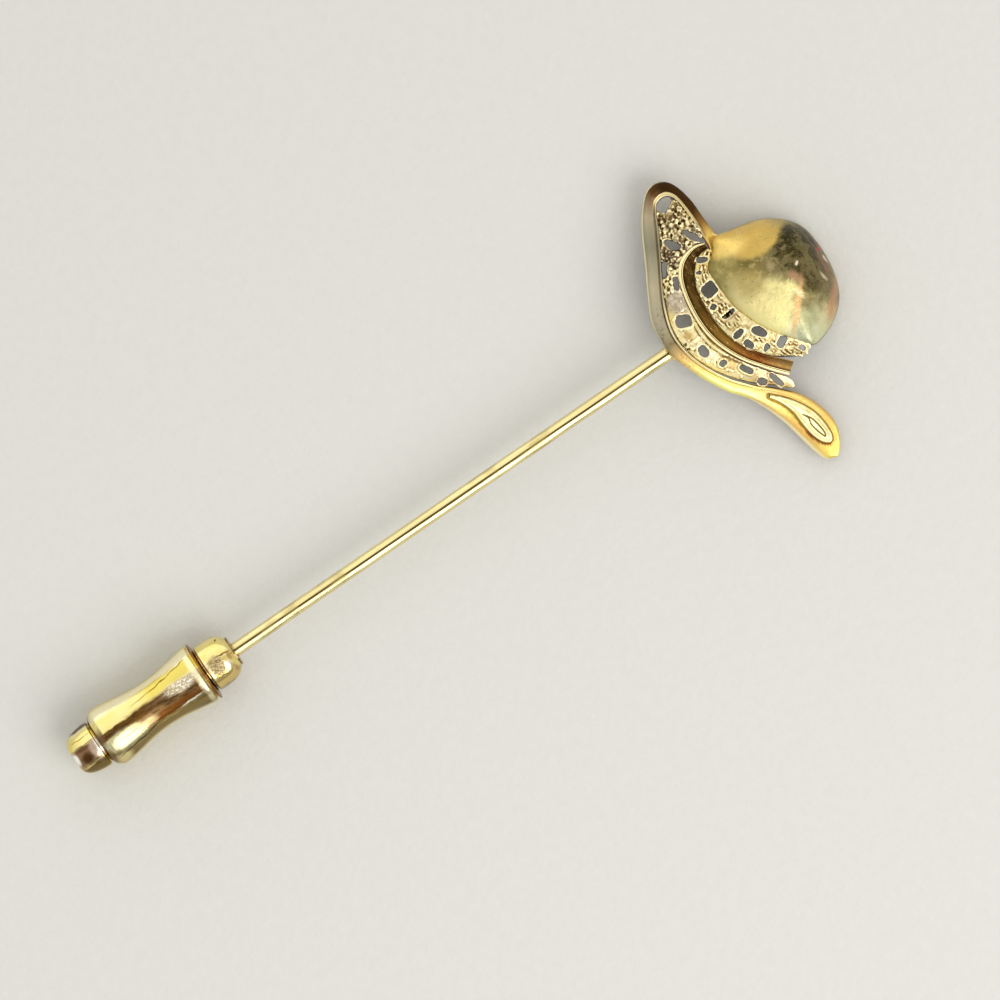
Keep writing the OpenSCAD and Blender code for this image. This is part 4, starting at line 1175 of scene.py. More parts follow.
def barrel_finish(gold):
    """Barrel and knob: polished gold with a brown stripe along the middle, partly wear and partly
    painted reflection, bright panels of painted reflection, and painted glints and shade.
    """
    gilt = Finish("Barrel gilding", 0.2)
    gilt.waves(0.16, 0.7)
    shade = gilt.blend(tone(*gold), tone(238, 218, 134), gilt.grain(1.6, 0.35, 0.65))
    top = gilt.upright(0.15, 0.45)
    drawn = gilt.grain(0.2, 0.36, 0.66, 5, (0.22, 1, 1), 12)
    brown = gilt.blend(tone(126, 97, 62), tone(76, 54, 34), drawn)
    brown = gilt.blend(brown, tone(112, 70, 30), gilt.patch(-42, -0.95, 2.6, 0.3, 0, 0.5))
    dark_reflection = gilt.blend(tone(108, 78, 38), tone(84, 58, 26), drawn)
    # Panels of painted reflection: a cream highlight at the left edge, yellow, then olive and dark
    # towards the right, the brown stripe that is partly wear, and painted shade at the foot
    panels = (
        (-43.5, 1.75, 8, 0.36, 0, 0.5, tone(255, 246, 208), 0.9),
        (-41.2, 0.98, 2.2, 0.42, 3, 0.25, tone(222, 204, 96), 0.85),
        (-43.5, -1.85, 8, 0.62, 0, 0.3, tone(122, 100, 58), 0.9),
        (-43.5, -2.1, 8, 0.2, 0, 0.7, tone(92, 76, 44), 0.7),
        (-42.1, -0.4, 3.0, 0.82, 0, 0.2, brown, 1),
        (-45.8, 0.06, 2.1, 0.28, 1, 0.25, dark_reflection, 1),
        (-47.55, -0.5, 0.22, 1.3, 0, 0.4, tone(116, 84, 60), 0.9),
    )
    shade = gilt.painted(shade, panels, top, square=True)
    # Rubbed patches, pale panels of painted reflection, and a cream painted highlight at the rim
    spots = (
        (-40.7, 0.14, 1.3, 0.42, 0, 0.35, tone(206, 188, 150), 0.9),
        (-46.05, -0.82, 1.65, 0.66, -3, 0.3, tone(190, 184, 144), 1),
        (-44.2, -0.75, 0.7, 0.3, 0, 0.6, tone(206, 186, 136), 0.7),
        (-46.9, -1.85, 0.6, 0.4, 0, 0.5, tone(236, 220, 160), 0.8),
        (-39.55, 0.1, 0.26, 2.2, 0, 0.5, tone(252, 242, 200), 0.8),
    )
    shade = gilt.painted(shade, spots, top)
    # White painted glints speckled over a rubbed patch
    rubbed = gilt.both(gilt.patch(-40.8, 0.14, 1.2, 0.36, 0, 0.5), top)
    speckle_glints = gilt.both(rubbed, gilt.grain(0.11, 0.5, 0.58, 3, (0.7, 1, 1)))
    shade = gilt.blend(shade, tone(255, 252, 240), speckle_glints)
    # On the knob: a pink-brown middle and an olive right side of painted reflection, painted shade at
    # its left edge, and a pink painted reflection
    knob_panels = (
        (-48.9, -0.2, 1.15, 0.62, 0, 0.16, tone(140, 108, 80), 1),
        (-48.9, -1.4, 1.3, 0.5, 0, 0.3, tone(124, 102, 56), 1),
    )
    shade = gilt.painted(shade, knob_panels, top, square=True)
    knob_left = gilt.patch(-48.9, 1.7, 1.2, 0.2, 0, 0.5, square=True)
    shade = gilt.blend(shade, tone(92, 72, 38), knob_left)
    pink_reflection = gilt.both(gilt.patch(-48.35, -0.3, 0.3, 0.7, 0, 0.5), top)
    shade = gilt.blend(shade, tone(196, 172, 152), pink_reflection)
    # Dark lines between the panels of painted reflection, white painted glints, and a dark spot
    lines = (
        (-40.55, 1.34, 0.75, 0.04, 8, 0.5, tone(120, 96, 30), 0.9),
        (-42.2, 1.05, 1.0, 0.04, 9, 0.5, tone(120, 96, 30), 0.9),
        (-43.9, 0.9, 0.8, 0.035, 6, 0.5, tone(140, 116, 44), 0.9),
        (-40.75, -1.16, 0.85, 0.06, 0, 0.5, tone(255, 250, 230), 1),
        (-42.6, -1.28, 1.1, 0.05, 0, 0.5, tone(190, 160, 104), 0.8),
        (-45.2, -1.42, 2.0, 0.045, 8, 0.5, tone(84, 64, 26), 0.95),
        (-45.6, -0.7, 0.85, 0.035, 1, 0.5, tone(110, 84, 44), 0.8),
        (-47.98, -0.1, 0.2, 0.62, 0, 0.5, tone(255, 252, 244), 1),
        (-47.95, 1.1, 0.035, 0.45, 0, 0.5, tone(96, 76, 28), 0.9),
        (-49.88, -0.15, 0.2, 0.5, 0, 0.5, tone(255, 252, 240), 1),
        (-49.1, -0.4, 0.4, 0.34, 0, 0.5, tone(74, 48, 16), 0.95),
        (-49.1, 0.25, 0.5, 0.16, 0, 0.5, tone(96, 66, 40), 0.8),
        (-48.75, 0.98, 0.8, 0.035, 0, 0.5, tone(130, 106, 34), 0.9),
        (-48.9, 0.46, 1.0, 0.03, 0, 0.5, tone(110, 86, 34), 0.8),
        (-48.9, -0.84, 1.0, 0.035, 0, 0.5, tone(90, 64, 30), 0.8),
        (-49.3, -1.0, 0.5, 0.05, 0, 0.5, tone(240, 220, 160), 0.7),
    )
    shade = gilt.painted(shade, lines, top)
    # Painted shade along the foot's bevel
    foot = gilt.patch(-47.76, 0, 0.08, 3, 0, 0.4, square=True, straight=True)
    shade = gilt.blend(shade, tone(110, 82, 44), foot)
    # Mottled dark brown band round the flange
    flange = gilt.patch(-38.98, 0, 0.2, 3, 0, 0.12, square=True, straight=True)
    flange_brown = gilt.blend(tone(88, 56, 22), tone(170, 118, 50), gilt.grain(1.6, 0.46, 0.64, 2))
    shade = gilt.blend(shade, flange_brown, flange)
    gilt.colour(shade)
    worn = gilt.both(gilt.patch(-42.2, -0.35, 3.4, 0.85, 0, 0.3), top)
    faint = gilt.scaled(gilt.grain(0.8, 0.4, 0.7, 4), 0.35)
    gilt.roughened(gilt.math("MAXIMUM", worn, faint), 0.2, 0.38)
    gilt.bumped(gilt.both(drawn, worn), 0.015)
    return gilt


# What a user would change

def length_setting(name, description, default, low, high):
    """Setting for a length in metres, with its limits."""
    return FloatProperty(
        name=name,
        description=description,
        default=default,
        min=low,
        max=high,
        unit="LENGTH",
    )


def colour_setting(name, description, red, green, blue):
    """Setting for a colour, given as on a screen out of 255."""
    return FloatVectorProperty(
        name=name,
        description=description,
        subtype="COLOR_GAMMA",
        size=3,
        min=0,
        max=1,
        default=(red / 255, green / 255, blue / 255),
    )


class HeadSettings(PropertyGroup):
    """Sizes of the hat."""

    crown_top: length_setting(
        "Crown height", "Height of the crown's top above the resting plane", 0.0053, 0.005, 0.0056
    )
    crown_wall: length_setting("Crown wall", "Thickness of the hollow crown", 0.00085, 0.0005, 0.001)
    grain: length_setting(
        "Lace grain", "Radius of the larger grains of the lace", 0.00021, 0.0001, 0.0003
    )
    detail: length_setting(
        "Cast detail", "Size of the smallest detail that the cast lace keeps", 0.000045, 0.00004, 0.0001
    )
    loop_wire: length_setting(
        "Loop wire", "Thickness of the raised loops on the tail", 0.00026, 0.0002, 0.0003
    )


class StemSettings(PropertyGroup):
    """Sizes of the wire stem."""

    diameter: length_setting("Wire", "Diameter of the stem's wire", 0.001, 0.0008, 0.0011)
    bare: length_setting(
        "Bare length",
        "Length of stem between the brim's edge and the clutch's mouth",
        0.0365,
        0.025,
        0.045,
    )


class ClutchSettings(PropertyGroup):
    """Sizes of the clutch."""

    waist: length_setting("Waist", "Smallest diameter of the barrel", 0.0036, 0.0034, 0.004)
    collar: length_setting("Collar", "Diameter of the collar at the mouth", 0.00355, 0.0032, 0.0038)
    knob: length_setting("Knob", "Diameter of the round knob at the closed end", 0.0035, 0.003, 0.0038)


class FinishSettings(PropertyGroup):
    """Main colours of the gilding."""

    crown: colour_setting("Crown gold", "Gold of the crown's polished side", 228, 194, 104)
    back: colour_setting("Back gold", "Gold of the edge's sides and back", 190, 154, 92)
    lace: colour_setting("Lace cream", "Pale gold on the lace and the hatband", 246, 232, 184)
    wire: colour_setting("Wire gold", "Gold of the stem's wire", 240, 226, 168)
    clutch: colour_setting("Clutch gold", "Gold of the clutch", 242, 226, 156)
    floor: colour_setting("Floor", "Colour of the floor", 198, 198, 196)


class StageSettings(PropertyGroup):
    """Camera and light."""

    height: length_setting("Camera height", "Height of the camera over the floor", 0.45, 0.2, 1.0)
    span: length_setting("Width of view", "Width of floor that the picture shows", 0.07, 0.05, 0.2)
    key: FloatProperty(
        name="Key light",
        description="Power of the soft main light",
        default=1.3,
        min=0.0,
        max=20.0,
        unit="POWER",
    )
    fill: FloatProperty(
        name="Surroundings",
        description="Brightness of the plain surroundings",
        default=1.05,
        min=0.0,
        max=5.0,
    )


class PinSettings(PropertyGroup):
    """All settings of the pin."""

    head: PointerProperty(type=HeadSettings, name="Head")
    stem: PointerProperty(type=StemSettings, name="Stem")
    clutch: PointerProperty(type=ClutchSettings, name="Clutch")
    finish: PointerProperty(type=FinishSettings, name="Finish")
    stage: PointerProperty(type=StageSettings, name="Stage")


def screen(colour):
    """Colour setting as numbers out of 255."""
    return tuple(255 * part for part in colour)


# Parts of the work

def dome_loop(line, share, top, inset):
    """Loop on the dome at a share of the way from its top to its outline, pulled in by an inset."""
    loop = []
    for x, y, foot in line:
        reach = Vector((x, y)) - CROWN_CENTRE
        place = CROWN_CENTRE + reach * share * (1 - inset / reach.length)
        rise = math.sqrt(max(0, 1 - share**DOME_POWER))
        loop.append((place.x, place.y, foot + (top - foot) * rise))
    return loop


def seam_height(x, y):
    """Height where the crown's front meets the hatband and the neck."""
    if y > 0:
        return 4.4 - 0.65 * step(y, 2.9, 4.3) - 4.4 * step(x, 7.2, 11)
    return 4.4 - 4.4 * step(x, 8, 12.2)


def neck_loop(seam, reach, drop):
    """Loop of the neck: the crown's foot drawn out over the start of the brim's edge."""
    loop = []
    for x, y, z in seam:
        share = float(step(y, 3.9, 4.7) * step(x, 6.35, 6.75) * (1 - step(x, 7.0, 7.55)))
        loop.append((x, y + reach * share, z - drop * share))
    return loop


def gap_to(line, places):
    """Distance from each place to a closed line, and which places lie inside it."""
    points = np.array(line)[:, :2]
    best = np.full(len(places), 1e9)
    inside = np.zeros(len(places), bool)
    for a, b in zip(points[:-1], points[1:]):
        way = b - a
        share = np.clip(((places[:, :2] - a) @ way) / max(way @ way, 1e-12), 0, 1)
        spot = a + share[:, None] * way
        best = np.minimum(best, np.hypot(places[:, 0] - spot[:, 0], places[:, 1] - spot[:, 1]))
        if a[1] != b[1]:
            crosses = (a[1] > places[:, 1]) != (b[1] > places[:, 1])
            reach = a[0] + (places[:, 1] - a[1]) * (b[0] - a[0]) / (b[1] - a[1])
            inside ^= crosses & (places[:, 0] < reach)
    return best, inside


def mark_edge(edge, radius):
    """Marks the edge's bead and lip for painted highlights, its grooves for painted shade, the raised
    fill in the tail's loop for a painted highlight, and the painted shade round it.
    """
    across = numbers_of(edge, "across")
    row = numbers_of(edge, "along") * (len(BRIM_EDGE) - 1)
    front = across >= 0
    widths = [math.hypot(r.outer_x - r.inner_x, r.outer_y - r.inner_y) for r in BRIM_EDGE]
    reach = across * np.interp(row, range(len(widths)), widths)
    rim = np.interp(row, *RIM_WIDTHS)
    bead = step(reach, 0.01, 0.03) * (1 - step(reach, rim, rim + 0.03))
    mark(edge, "bead", front * np.interp(row, *BEADED) * bead)
    groove = step(reach, rim, rim + 0.03) * (1 - step(reach, rim + 0.05, rim + 0.08))
    middle = step(reach, 0.12, 0.14) * (1 - step(reach, 0.16, 0.18))
    grooves = np.maximum(np.interp(row, *GROOVED) * groove, np.interp(row, *PARTED) * middle)
    mark(edge, "groove", front * grooves)
    mark(edge, "lip", front * np.interp(row, *LIPPED) * step(across, 0.9, 0.96))
    places = places_of(edge)
    gap, inside = gap_to(smooth(TAIL_LOOP, 6), places)
    filled = front * inside
    mark(edge, "fill_highlight", filled)
    places[:, 2] += filled * 0.1 * step(gap, 0.04, 0.1)
    put(edge, places)
    # The painted shade line is wider below the loop, where the places are under a slanting line
    slant = 4.5 - (places[:, 1] + 6.5) * 0.3
    reach = radius + 0.06 + 0.09 * step(slant - places[:, 0], 0, 0.2)
    mark(edge, "contact_shade", front * ~inside * (1 - step(gap, reach, reach + 0.06)))


def edge_height(x, y, rows):
    """Height of the brim edge's front at a place, from its nearest row."""
    def gap(row):
        inner_x, inner_y, outer_x, outer_y = row[:4]
        return ((inner_x + outer_x) / 2 - x) ** 2 + ((inner_y + outer_y) / 2 - y) ** 2

    return min(rows, key=gap)[4]


def tube(name, path, radius, sides=16):
    """Round wire that follows a path."""
    rings = []
    for i, point in enumerate(path):
        ahead = path[min(i + 1, len(path) - 1)] - path[max(i - 1, 0)]
        side = Vector((-ahead.y, ahead.x, 0)).normalized()
        rings.append(
            [
                tuple(point + side * radius * math.cos(a) + Vector((0, 0, radius * math.sin(a))))
                for a in (2 * math.pi * k / sides for k in range(sides))
            ]
        )
    return laid(name, rings)


def lay_loop(name, line, radius, lift=0.0):
    """Wire laid on the tail along a line, its middle lifted off the tail by a height."""
    rows = smooth(BRIM_EDGE, 10)
    path = [Vector((x, y, edge_height(x, y, rows))) for x, y in smooth(line, 10)]
    heights = np.array([point.z for point in path])
    soft = np.convolve(np.pad(heights, 6, mode="edge"), np.ones(13) / 13, mode="valid")
    for point, z in zip(path, soft):
        point.z = z + lift
    return tube(name, path, radius)


def lace_spots(grain, chance):
    """Spots for the grains of the lace: dense on the left wing, and set round the rims elsewhere."""
    places = band_points(LACE_ROWS, LACE_SECTION)
    rims = [hole for hole in LACE_HOLES if hole.long > RIM_LONG]
    spots = rim_grains(rims, places, size=0.08, gap=0.7, chance=chance)
    taken = []
    for _ in range(GRAIN_TRIES):
        x, y, z = places[chance.randrange(len(places))]
        x += chance.uniform(-0.1, 0.1)
        y += chance.uniform(-0.1, 0.1)
        if y > WING_Y:
            r = grain * chance.choice((0.6, 0.9, 1.2, 1.5))
            gap = chance.uniform(0.6, 1.0)
        elif y > WORN_Y:
            r = grain * 0.35
            gap = 4
        else:
            r = grain * chance.uniform(0.3, 0.6)
            gap = 6
        if any(in_hole(hole, x, y, r * 0.6) for hole in LACE_HOLES):
            continue
        if any((x - a) ** 2 + (y - b) ** 2 < (gap * (r + c)) ** 2 for a, b, c in taken):
            continue
        taken.append((x, y, r))
        sizes = (r, r * chance.uniform(0.55, 1.2), min(r, 0.17) * 0.9)
        spots.append(((x, y, z), sizes, chance.uniform(0, 3)))
    return spots


def ridges(places):
    """Raised lines on the lace's front, each along its path."""
    lines = []
    for radius, *path in LACE_RIDGES:
        points = [Vector((x, y, height_at(places, x, y) - radius * 0.2)) for x, y in smooth(path, 8)]
        lines.append(tube("ridge", points, radius, sides=10))
    return lines


def prong_spots(chance):
    """Spots for the small square prongs of the hatband, in rows across it."""
    places = band_points(HATBAND_ROWS, HATBAND_SECTION)
    spots = []
    rows = smooth(HATBAND_ROWS, 3)
    for row in rows[2:-1]:
        a = Vector(row[:3])
        b = Vector(row[3:])
        turn = math.atan2(b.y - a.y, b.x - a.x)
        for share in (0.2, 0.45, 0.7, 0.9):
            share += chance.uniform(-0.05, 0.05)
            spot = a.lerp(b, share)
            if any(in_hole(hole, spot.x, spot.y, 0.14) for hole in HATBAND_HOLES):
                continue
            if chance.random() < 0.45:
                continue
            z = height_at(places, spot.x, spot.y)
            sizes = (chance.uniform(0.05, 0.08), chance.uniform(0.1, 0.2), 0.12)
            spots.append(((spot.x, spot.y, z), sizes, turn + chance.uniform(-0.2, 0.2)))
    return spots


def soldered_tongue(start, radius):
    """Flat tongue along the z axis from where the wire ends, with two low swellings of solder."""
    choose()
    thick, wide, long = (0.8, 1.4, 5.2)
    middle = (thick / 2 - radius, 0, start + long / 2)
    bpy.ops.mesh.primitive_cube_add(size=1, location=middle, scale=(thick, wide, long))
    tongue = named("tongue")
    bpy.ops.object.transform_apply(location=True, rotation=True, scale=True)
    open_mesh()
    bpy.ops.mesh.bevel(offset=0.12, segments=3, affect="EDGES")
    bpy.ops.object.mode_set(mode="OBJECT")
    for drop, size in ((1.1, 1.0), (3.9, 1.2)):
        choose()
        bpy.ops.mesh.primitive_uv_sphere_add(
            segments=40,
            ring_count=24,
            radius=1,
            location=(-0.42, 0, start + drop),
            scale=(0.32, 0.66, size),
        )
        solder = named("solder")
        bpy.ops.object.transform_apply(location=True, rotation=True, scale=True)
        combined(tongue, "UNION", solder)
    return tongue


def surroundings(strength):
    """Plain surroundings, dim at the near side and bright at the far one, and even at the left."""
    world = bpy.data.worlds.new("Plain surroundings")
    nodes = Nodes(world)
    out = nodes.node("ShaderNodeOutputWorld")
    sky = nodes.node("ShaderNodeBackground")
    sky.inputs["Strength"].default_value = strength
    nodes.feed(out.inputs[0], sky.outputs[0])
    where = nodes.node("ShaderNodeTexCoord")
    parts = nodes.node("ShaderNodeSeparateXYZ")
    nodes.feed(parts.inputs[0], where.outputs["Generated"])
    across, ahead, _ = parts.outputs
    stops = (
        (0.0, (0.42, 0.41, 0.38)), (0.2, (0.6, 0.58, 0.54)), (0.32, (0.95, 0.93, 0.88)),
        (0.41, (0.85, 0.82, 0.76)), (0.46, (0.76, 0.72, 0.66)), (0.52, (0.76, 0.72, 0.66)),
        (0.58, (0.95, 0.92, 0.86)), (0.70, (1.12, 1.1, 1.02)), (1.0, (1.3, 1.27, 1.18)),
    )
    run = nodes.math("ADD", nodes.scaled(ahead, 0.5), 0.5)
    bands = nodes.along(run, [(place, (*colour, 1)) for place, colour in stops])
    left = nodes.ramped(across, -0.25, -0.7)
    nodes.feed(sky.inputs[0], nodes.blend(bands, (0.9, 0.92, 0.9, 1), left))
    return world


# Work steps

class PIN_OT_crown(Operator):
    """Models the hollow crown"""

    bl_idname = "stick_pin.crown"
    bl_label = "Crown"

    def execute(self, context):
        settings = context.scene.stick_pin
        line = [(x, y, max(0, foot)) for x, y, foot in smooth(CROWN_OUTLINE, 6, closed=True)]
        top = settings.head.crown_top / MM
        wall = settings.head.crown_wall / MM
        rounds = 36
        shares = [math.sin(math.pi / 2 * k / rounds) for k in range(rounds + 1)]
        inside = [dome_loop(line, share, top - wall, wall) for share in shares[::3]]
        seam = [(x, y, max(foot + 0.01, seam_height(x, y))) for x, y, foot in line]
        neck = [neck_loop(seam, reach, drop) for reach, drop in NECK_LOOPS]
        front = [dome_loop(seam, share, top, 0) for share in reversed(shares)]
        crown = laid("crown", inside + [line] + neck + front, [0] * len(line))
        place_piece(crown, "hat", "pin", crown_finish(screen(settings.finish.crown)))
        return {"FINISHED"}


class PIN_OT_brim_edge(Operator):
    """Models the rolled edge of the brim with its pointed tail, and marks where its colours change"""

    bl_idname = "stick_pin.brim_edge"
    bl_label = "Brim edge"

    def execute(self, context):
        settings = context.scene.stick_pin
        rings = []
        for inner_x, inner_y, outer_x, outer_y, ridge, sunk in smooth(BRIM_EDGE, 14):
            a = (inner_x, inner_y, ridge)
            b = (outer_x, outer_y, ridge)
            section = [
                (point.share, point.plain + (point.grooved - point.plain) * sunk)
                for point in EDGE_SECTION
            ]
            rings.append(cross(a, b, fine(section), EDGE_WALL))
        shares = shares_of(fine([(point.share, 0) for point in EDGE_SECTION]))
        edge = laid("brim_edge", rings, shares)
        mark_edge(edge, settings.head.loop_wire / MM / 2)
        place_piece(edge, "hat", "pin", edge_finish(screen(settings.finish.back)))
        return {"FINISHED"}


class PIN_OT_tail_loops(Operator):
    """Lays the raised teardrop loop and the small eye on the tail"""

    bl_idname = "stick_pin.tail_loops"
    bl_label = "Tail loops"

    def execute(self, context):
        radius = context.scene.stick_pin.head.loop_wire / MM / 2
        loop = lay_loop("tail_loop", TAIL_LOOP, radius)
        # The large loop's cream is partly a painted highlight
        bright = loop_finish("Loop gilding", (250, 240, 188), (236, 218, 146))
        place_piece(loop, "hat", "pin", bright)
        eye = lay_loop("tail_eye", TAIL_EYE, radius * 0.5, lift=0.07)
        # The eye's dark olive stands for a painted shadow line
        olive = loop_finish("Eye gilding", (124, 108, 52), (146, 126, 70))
        place_piece(eye, "hat", "pin", olive)
        return {"FINISHED"}


class PIN_OT_hatband(Operator):
    """Models the pierced hatband with its square prongs"""

    bl_idname = "stick_pin.hatband"
    bl_label = "Hatband"

    def execute(self, context):
        settings = context.scene.stick_pin
        chance = random.Random(5)
        rings = [
            cross(row[:3], row[3:], fine(HATBAND_SECTION), HATBAND_WALL, grow=0.04, reach=0.16)
            for row in smooth(HATBAND_ROWS, 6)
        ]
        band = laid("hatband", rings)
        pierced(band, HATBAND_HOLES, 3)
        places = band_points(HATBAND_ROWS, HATBAND_SECTION)
        prongs = copies(small_block(), "prongs", prong_spots(chance))
        rims = [hole for hole in HATBAND_HOLES if hole.wide > RIM_WIDE]
        beads = rim_grains(rims, places, size=0.075, gap=0.6, chance=chance)
        grains = copies(small_ball(), "grains", beads)
        merged(band, prongs, grains, rim_wires(rims, places, radius=0.06, chance=chance))
        cast(band, settings.head.detail / MM * 0.9, lumps=0.03, lump_size=0.2)
        place_piece(band, "hat", "pin", hatband_finish(screen(settings.finish.lace)))
        return {"FINISHED"}


class PIN_OT_ribbon(Operator):
    """Models the smooth ribbon with its double rim line"""

    bl_idname = "stick_pin.ribbon"
    bl_label = "Ribbon"

    def execute(self, context):
        rings = [
            cross(row[:3], row[3:], fine(RIBBON_SECTION), RIBBON_WALL, grow=0.03)
            for row in smooth(RIBBON_ROWS, 10)
        ]
        ribbon = laid("ribbon", rings, shares_of(fine(RIBBON_SECTION)))
        place_piece(ribbon, "hat", "pin", ribbon_finish())
        return {"FINISHED"}


class PIN_OT_lace(Operator):
    """Models the pierced and grained lace of the brim"""

    bl_idname = "stick_pin.lace"
    bl_label = "Brim lace"

    def execute(self, context):
        settings = context.scene.stick_pin
        chance = random.Random(11)
        rings = [
            cross(row[:3], row[3:], fine(LACE_SECTION), LACE_WALL, grow=0.07)
            for row in smooth(LACE_ROWS, 6)
        ]
        lace = laid("brim_lace", rings)
        pierced(lace, LACE_HOLES, 7)
        grains = copies(small_ball(), "grains", lace_spots(settings.head.grain / MM, chance))
        rims = [hole for hole in LACE_HOLES if hole.long > RIM_LONG and hole.y < RIM_Y]
        places = band_points(LACE_ROWS, LACE_SECTION)
        wires = rim_wires(rims, places, radius=0.075, chance=chance)
        lines = ridges(places)
        merged(lace, grains, wires, *lines)
        cast(lace, settings.head.detail / MM, lumps=0.19, lump_size=0.24, smooth_side=WORN_SIDE)
        place_piece(lace, "hat", "pin", lace_finish(screen(settings.finish.lace)))
        return {"FINISHED"}


class PIN_OT_stem(Operator):
    """Models the wire stem with its point, its flat tongue and the solder behind the head"""

    bl_idname = "stick_pin.stem"
    bl_label = "Stem"

    def execute(self, context):
        settings = context.scene.stick_pin
        r = settings.stem.diameter / MM / 2
        mouth = -settings.stem.bare / MM - FOOT_X
        point = mouth - TAPER
        tongue = 0.1 - FOOT_X
        outline = rounded(
            [
                (0, point, 0), (r * 0.1, point, 0.02), (r * 0.35, point + 2.5, 1),
                (r * 0.92, mouth - 0.6, 0.4), (r, mouth + 0.1, 0.2), (r, tongue, 0.1),
                (r * 0.7, tongue + 0.2, 0.1), (0, tongue + 0.2, 0),
            ]
        )
        stem = spun("stem_wire", outline, 64)
        combined(stem, "UNION", soldered_tongue(tongue, r))
        wire = stem_finish(screen(settings.finish.wire))
        place_piece(stem, "stem", "pin", wire, on_stem=True, crease=35)
        return {"FINISHED"}


class PIN_OT_clutch(Operator):
    """Models the clutch's collar, and the waisted barrel with its knob"""

    bl_idname = "stick_pin.clutch"
    bl_label = "Clutch"

    def execute(self, context):
        settings = context.scene.stick_pin
        r = settings.clutch.collar / MM / 2
        neck_end = NECK_END + 0.04
        collar_outline = [
            (BORE_R, neck_end, 0), (NECK_R, neck_end, 0.08), (NECK_R, 8.2, 0.04), (r, 8.2, 0.16),
            (r, 9.2, 0.4), (r - 0.12, 9.8, 0.4), (r - 0.42, 10.22, 0.3), (1.12, 10.38, 0.1),
            (1.1, 10.42, 0.02), (1.1, 10.53, 0.03), (BORE_R + 0.05, 10.55, 0.03), (BORE_R, 10.45, 0),
        ]
        collar = spun("clutch_collar_dressed", rounded(collar_outline, 8))
        gold = screen(settings.finish.clutch)
        finish = collar_finish(gold)
        place_piece(collar, "clutch_collar", "clutch", finish, on_stem=True)
        knob = settings.clutch.knob / MM / 2
        waist = settings.clutch.waist / MM / 2
        low = 0.25
        long = 7.35
        steps = 40
        body = [
            (FOOT_R - (FOOT_R - waist) * math.sin(math.pi * t) ** 1.3, low + long * t, 0)
            for t in (k / steps for k in range(steps + 1))
        ]
        socket = NECK_R + 0.04
        barrel_outline = [
            (0, -2.95, 0), (knob - 0.62, -2.95, 0.3), (knob - 0.18, -2.42, 0.5), (knob, -1.5, 0.6),
            (knob, -0.92, 0.12), (1.52, -0.86, 0.04), (1.56, -0.8, 0.04), (1.98, -0.62, 0.1),
            (FOOT_R - 0.01, -0.2, 0.1), (FOOT_R, 0.06, 0.1), *body, (2.2, 7.7, 0.04),
            (2.08, 7.8, 0.03), (2.08, 7.84, 0.02), (2.24, 7.9, 0.04), (2.24, 7.99, 0.04),
            (1.62, 8.12, 0.1), (socket, 8.12, 0.03), (socket, NECK_END, 0), (BORE_R, NECK_END, 0),
            (BORE_R, 0, 0), (0, 0, 0),
        ]
        barrel = spun("clutch_barrel_dressed", rounded(barrel_outline, 8))
        finish = barrel_finish(gold)
        place_piece(barrel, "clutch_barrel", "clutch", finish, on_stem=True)
        return {"FINISHED"}


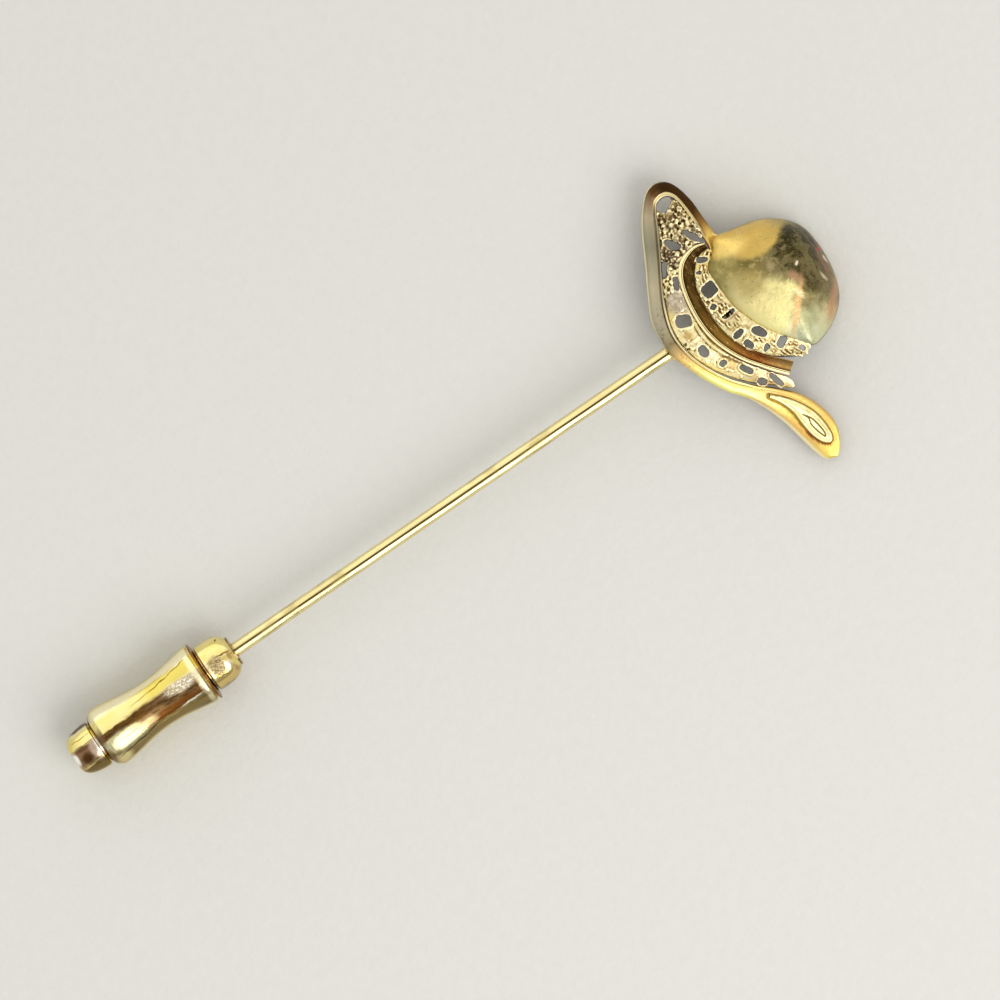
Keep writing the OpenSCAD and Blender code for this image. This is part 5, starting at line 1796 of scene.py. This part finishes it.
class PIN_OT_stage(Operator):
    """Sets the pale floor, the camera over the pin, the soft key light and the plain surroundings"""

    bl_idname = "stick_pin.stage"
    bl_label = "Stage"

    def execute(self, context):
        settings = context.scene.stick_pin
        scene = context.scene
        choose()
        bpy.ops.mesh.primitive_plane_add(size=3)
        floor = named("floor")
        paper = Finish("Pale floor", 0.75, metallic=0)
        pale = tone(*screen(settings.finish.floor))
        darker = tuple(0.98 * part for part in pale[:3]) + (1,)
        paper.colour(paper.blend(pale, darker, paper.grain(0.8, 0.3, 0.7, 4)))
        paper.bumped(paper.grain(0.5, 0.2, 0.8, 4), 0.02)
        floor.data.materials.append(paper.material)

        choose()
        place = (*VIEW_CENTRE, settings.stage.height)
        bpy.ops.object.camera_add(location=place, rotation=(0, 0, VIEW_TURN))
        camera = context.object
        camera.name = "camera"
        camera.data.sensor_width = SENSOR
        camera.data.lens = SENSOR * settings.stage.height / settings.stage.span
        camera.data.clip_start = 0.01
        camera.data.clip_end = 10
        scene.camera = camera

        place = Vector((0.09, -0.30, 0.30))
        bpy.ops.object.light_add(type="AREA", location=place)
        key = context.object
        key.name = "key"
        key.rotation_euler = (-place).to_track_quat("-Z", "Y").to_euler()
        key.data.shape = "DISK"
        key.data.size = 0.4
        key.data.energy = settings.stage.key
        key.data.color = (1, 0.97, 0.92)

        scene.world = surroundings(settings.stage.fill)
        scene.view_settings.view_transform = "Standard"
        return {"FINISHED"}


class PIN_PT_pieces(Panel):
    """Lists the pieces of the pin and their settings"""

    bl_label = "Stick Pin"
    bl_idname = "PIN_PT_pieces"
    bl_space_type = "VIEW_3D"
    bl_region_type = "UI"
    bl_category = "Stick Pin"

    def draw(self, context):
        settings = context.scene.stick_pin
        for title, group in (
            ("Head", settings.head), ("Stem", settings.stem), ("Clutch", settings.clutch),
            ("Finish", settings.finish), ("Stage", settings.stage),
        ):
            box = self.layout.box()
            box.label(text=title)
            for name in group.__annotations__:
                box.prop(group, name)
        for operator in WORK:
            self.layout.operator(operator.bl_idname)


# In the order of the work
WORK = (
    PIN_OT_stage, PIN_OT_crown, PIN_OT_brim_edge, PIN_OT_tail_loops, PIN_OT_hatband, PIN_OT_ribbon,
    PIN_OT_lace, PIN_OT_stem, PIN_OT_clutch,
)
CLASSES = (
    HeadSettings, StemSettings, ClutchSettings, FinishSettings, StageSettings, PinSettings, *WORK,
    PIN_PT_pieces,
)


def register():
    for cls in CLASSES:
        bpy.utils.register_class(cls)
    bpy.types.Scene.stick_pin = PointerProperty(type=PinSettings)


def unregister():
    del bpy.types.Scene.stick_pin
    for cls in reversed(CLASSES):
        bpy.utils.unregister_class(cls)


def main():
    register()
    bpy.ops.stick_pin.stage()
    bpy.ops.stick_pin.crown()
    bpy.ops.stick_pin.brim_edge()
    bpy.ops.stick_pin.tail_loops()
    bpy.ops.stick_pin.hatband()
    bpy.ops.stick_pin.ribbon()
    bpy.ops.stick_pin.lace()
    bpy.ops.stick_pin.stem()
    bpy.ops.stick_pin.clutch()


if __name__ == "__main__":
    main()
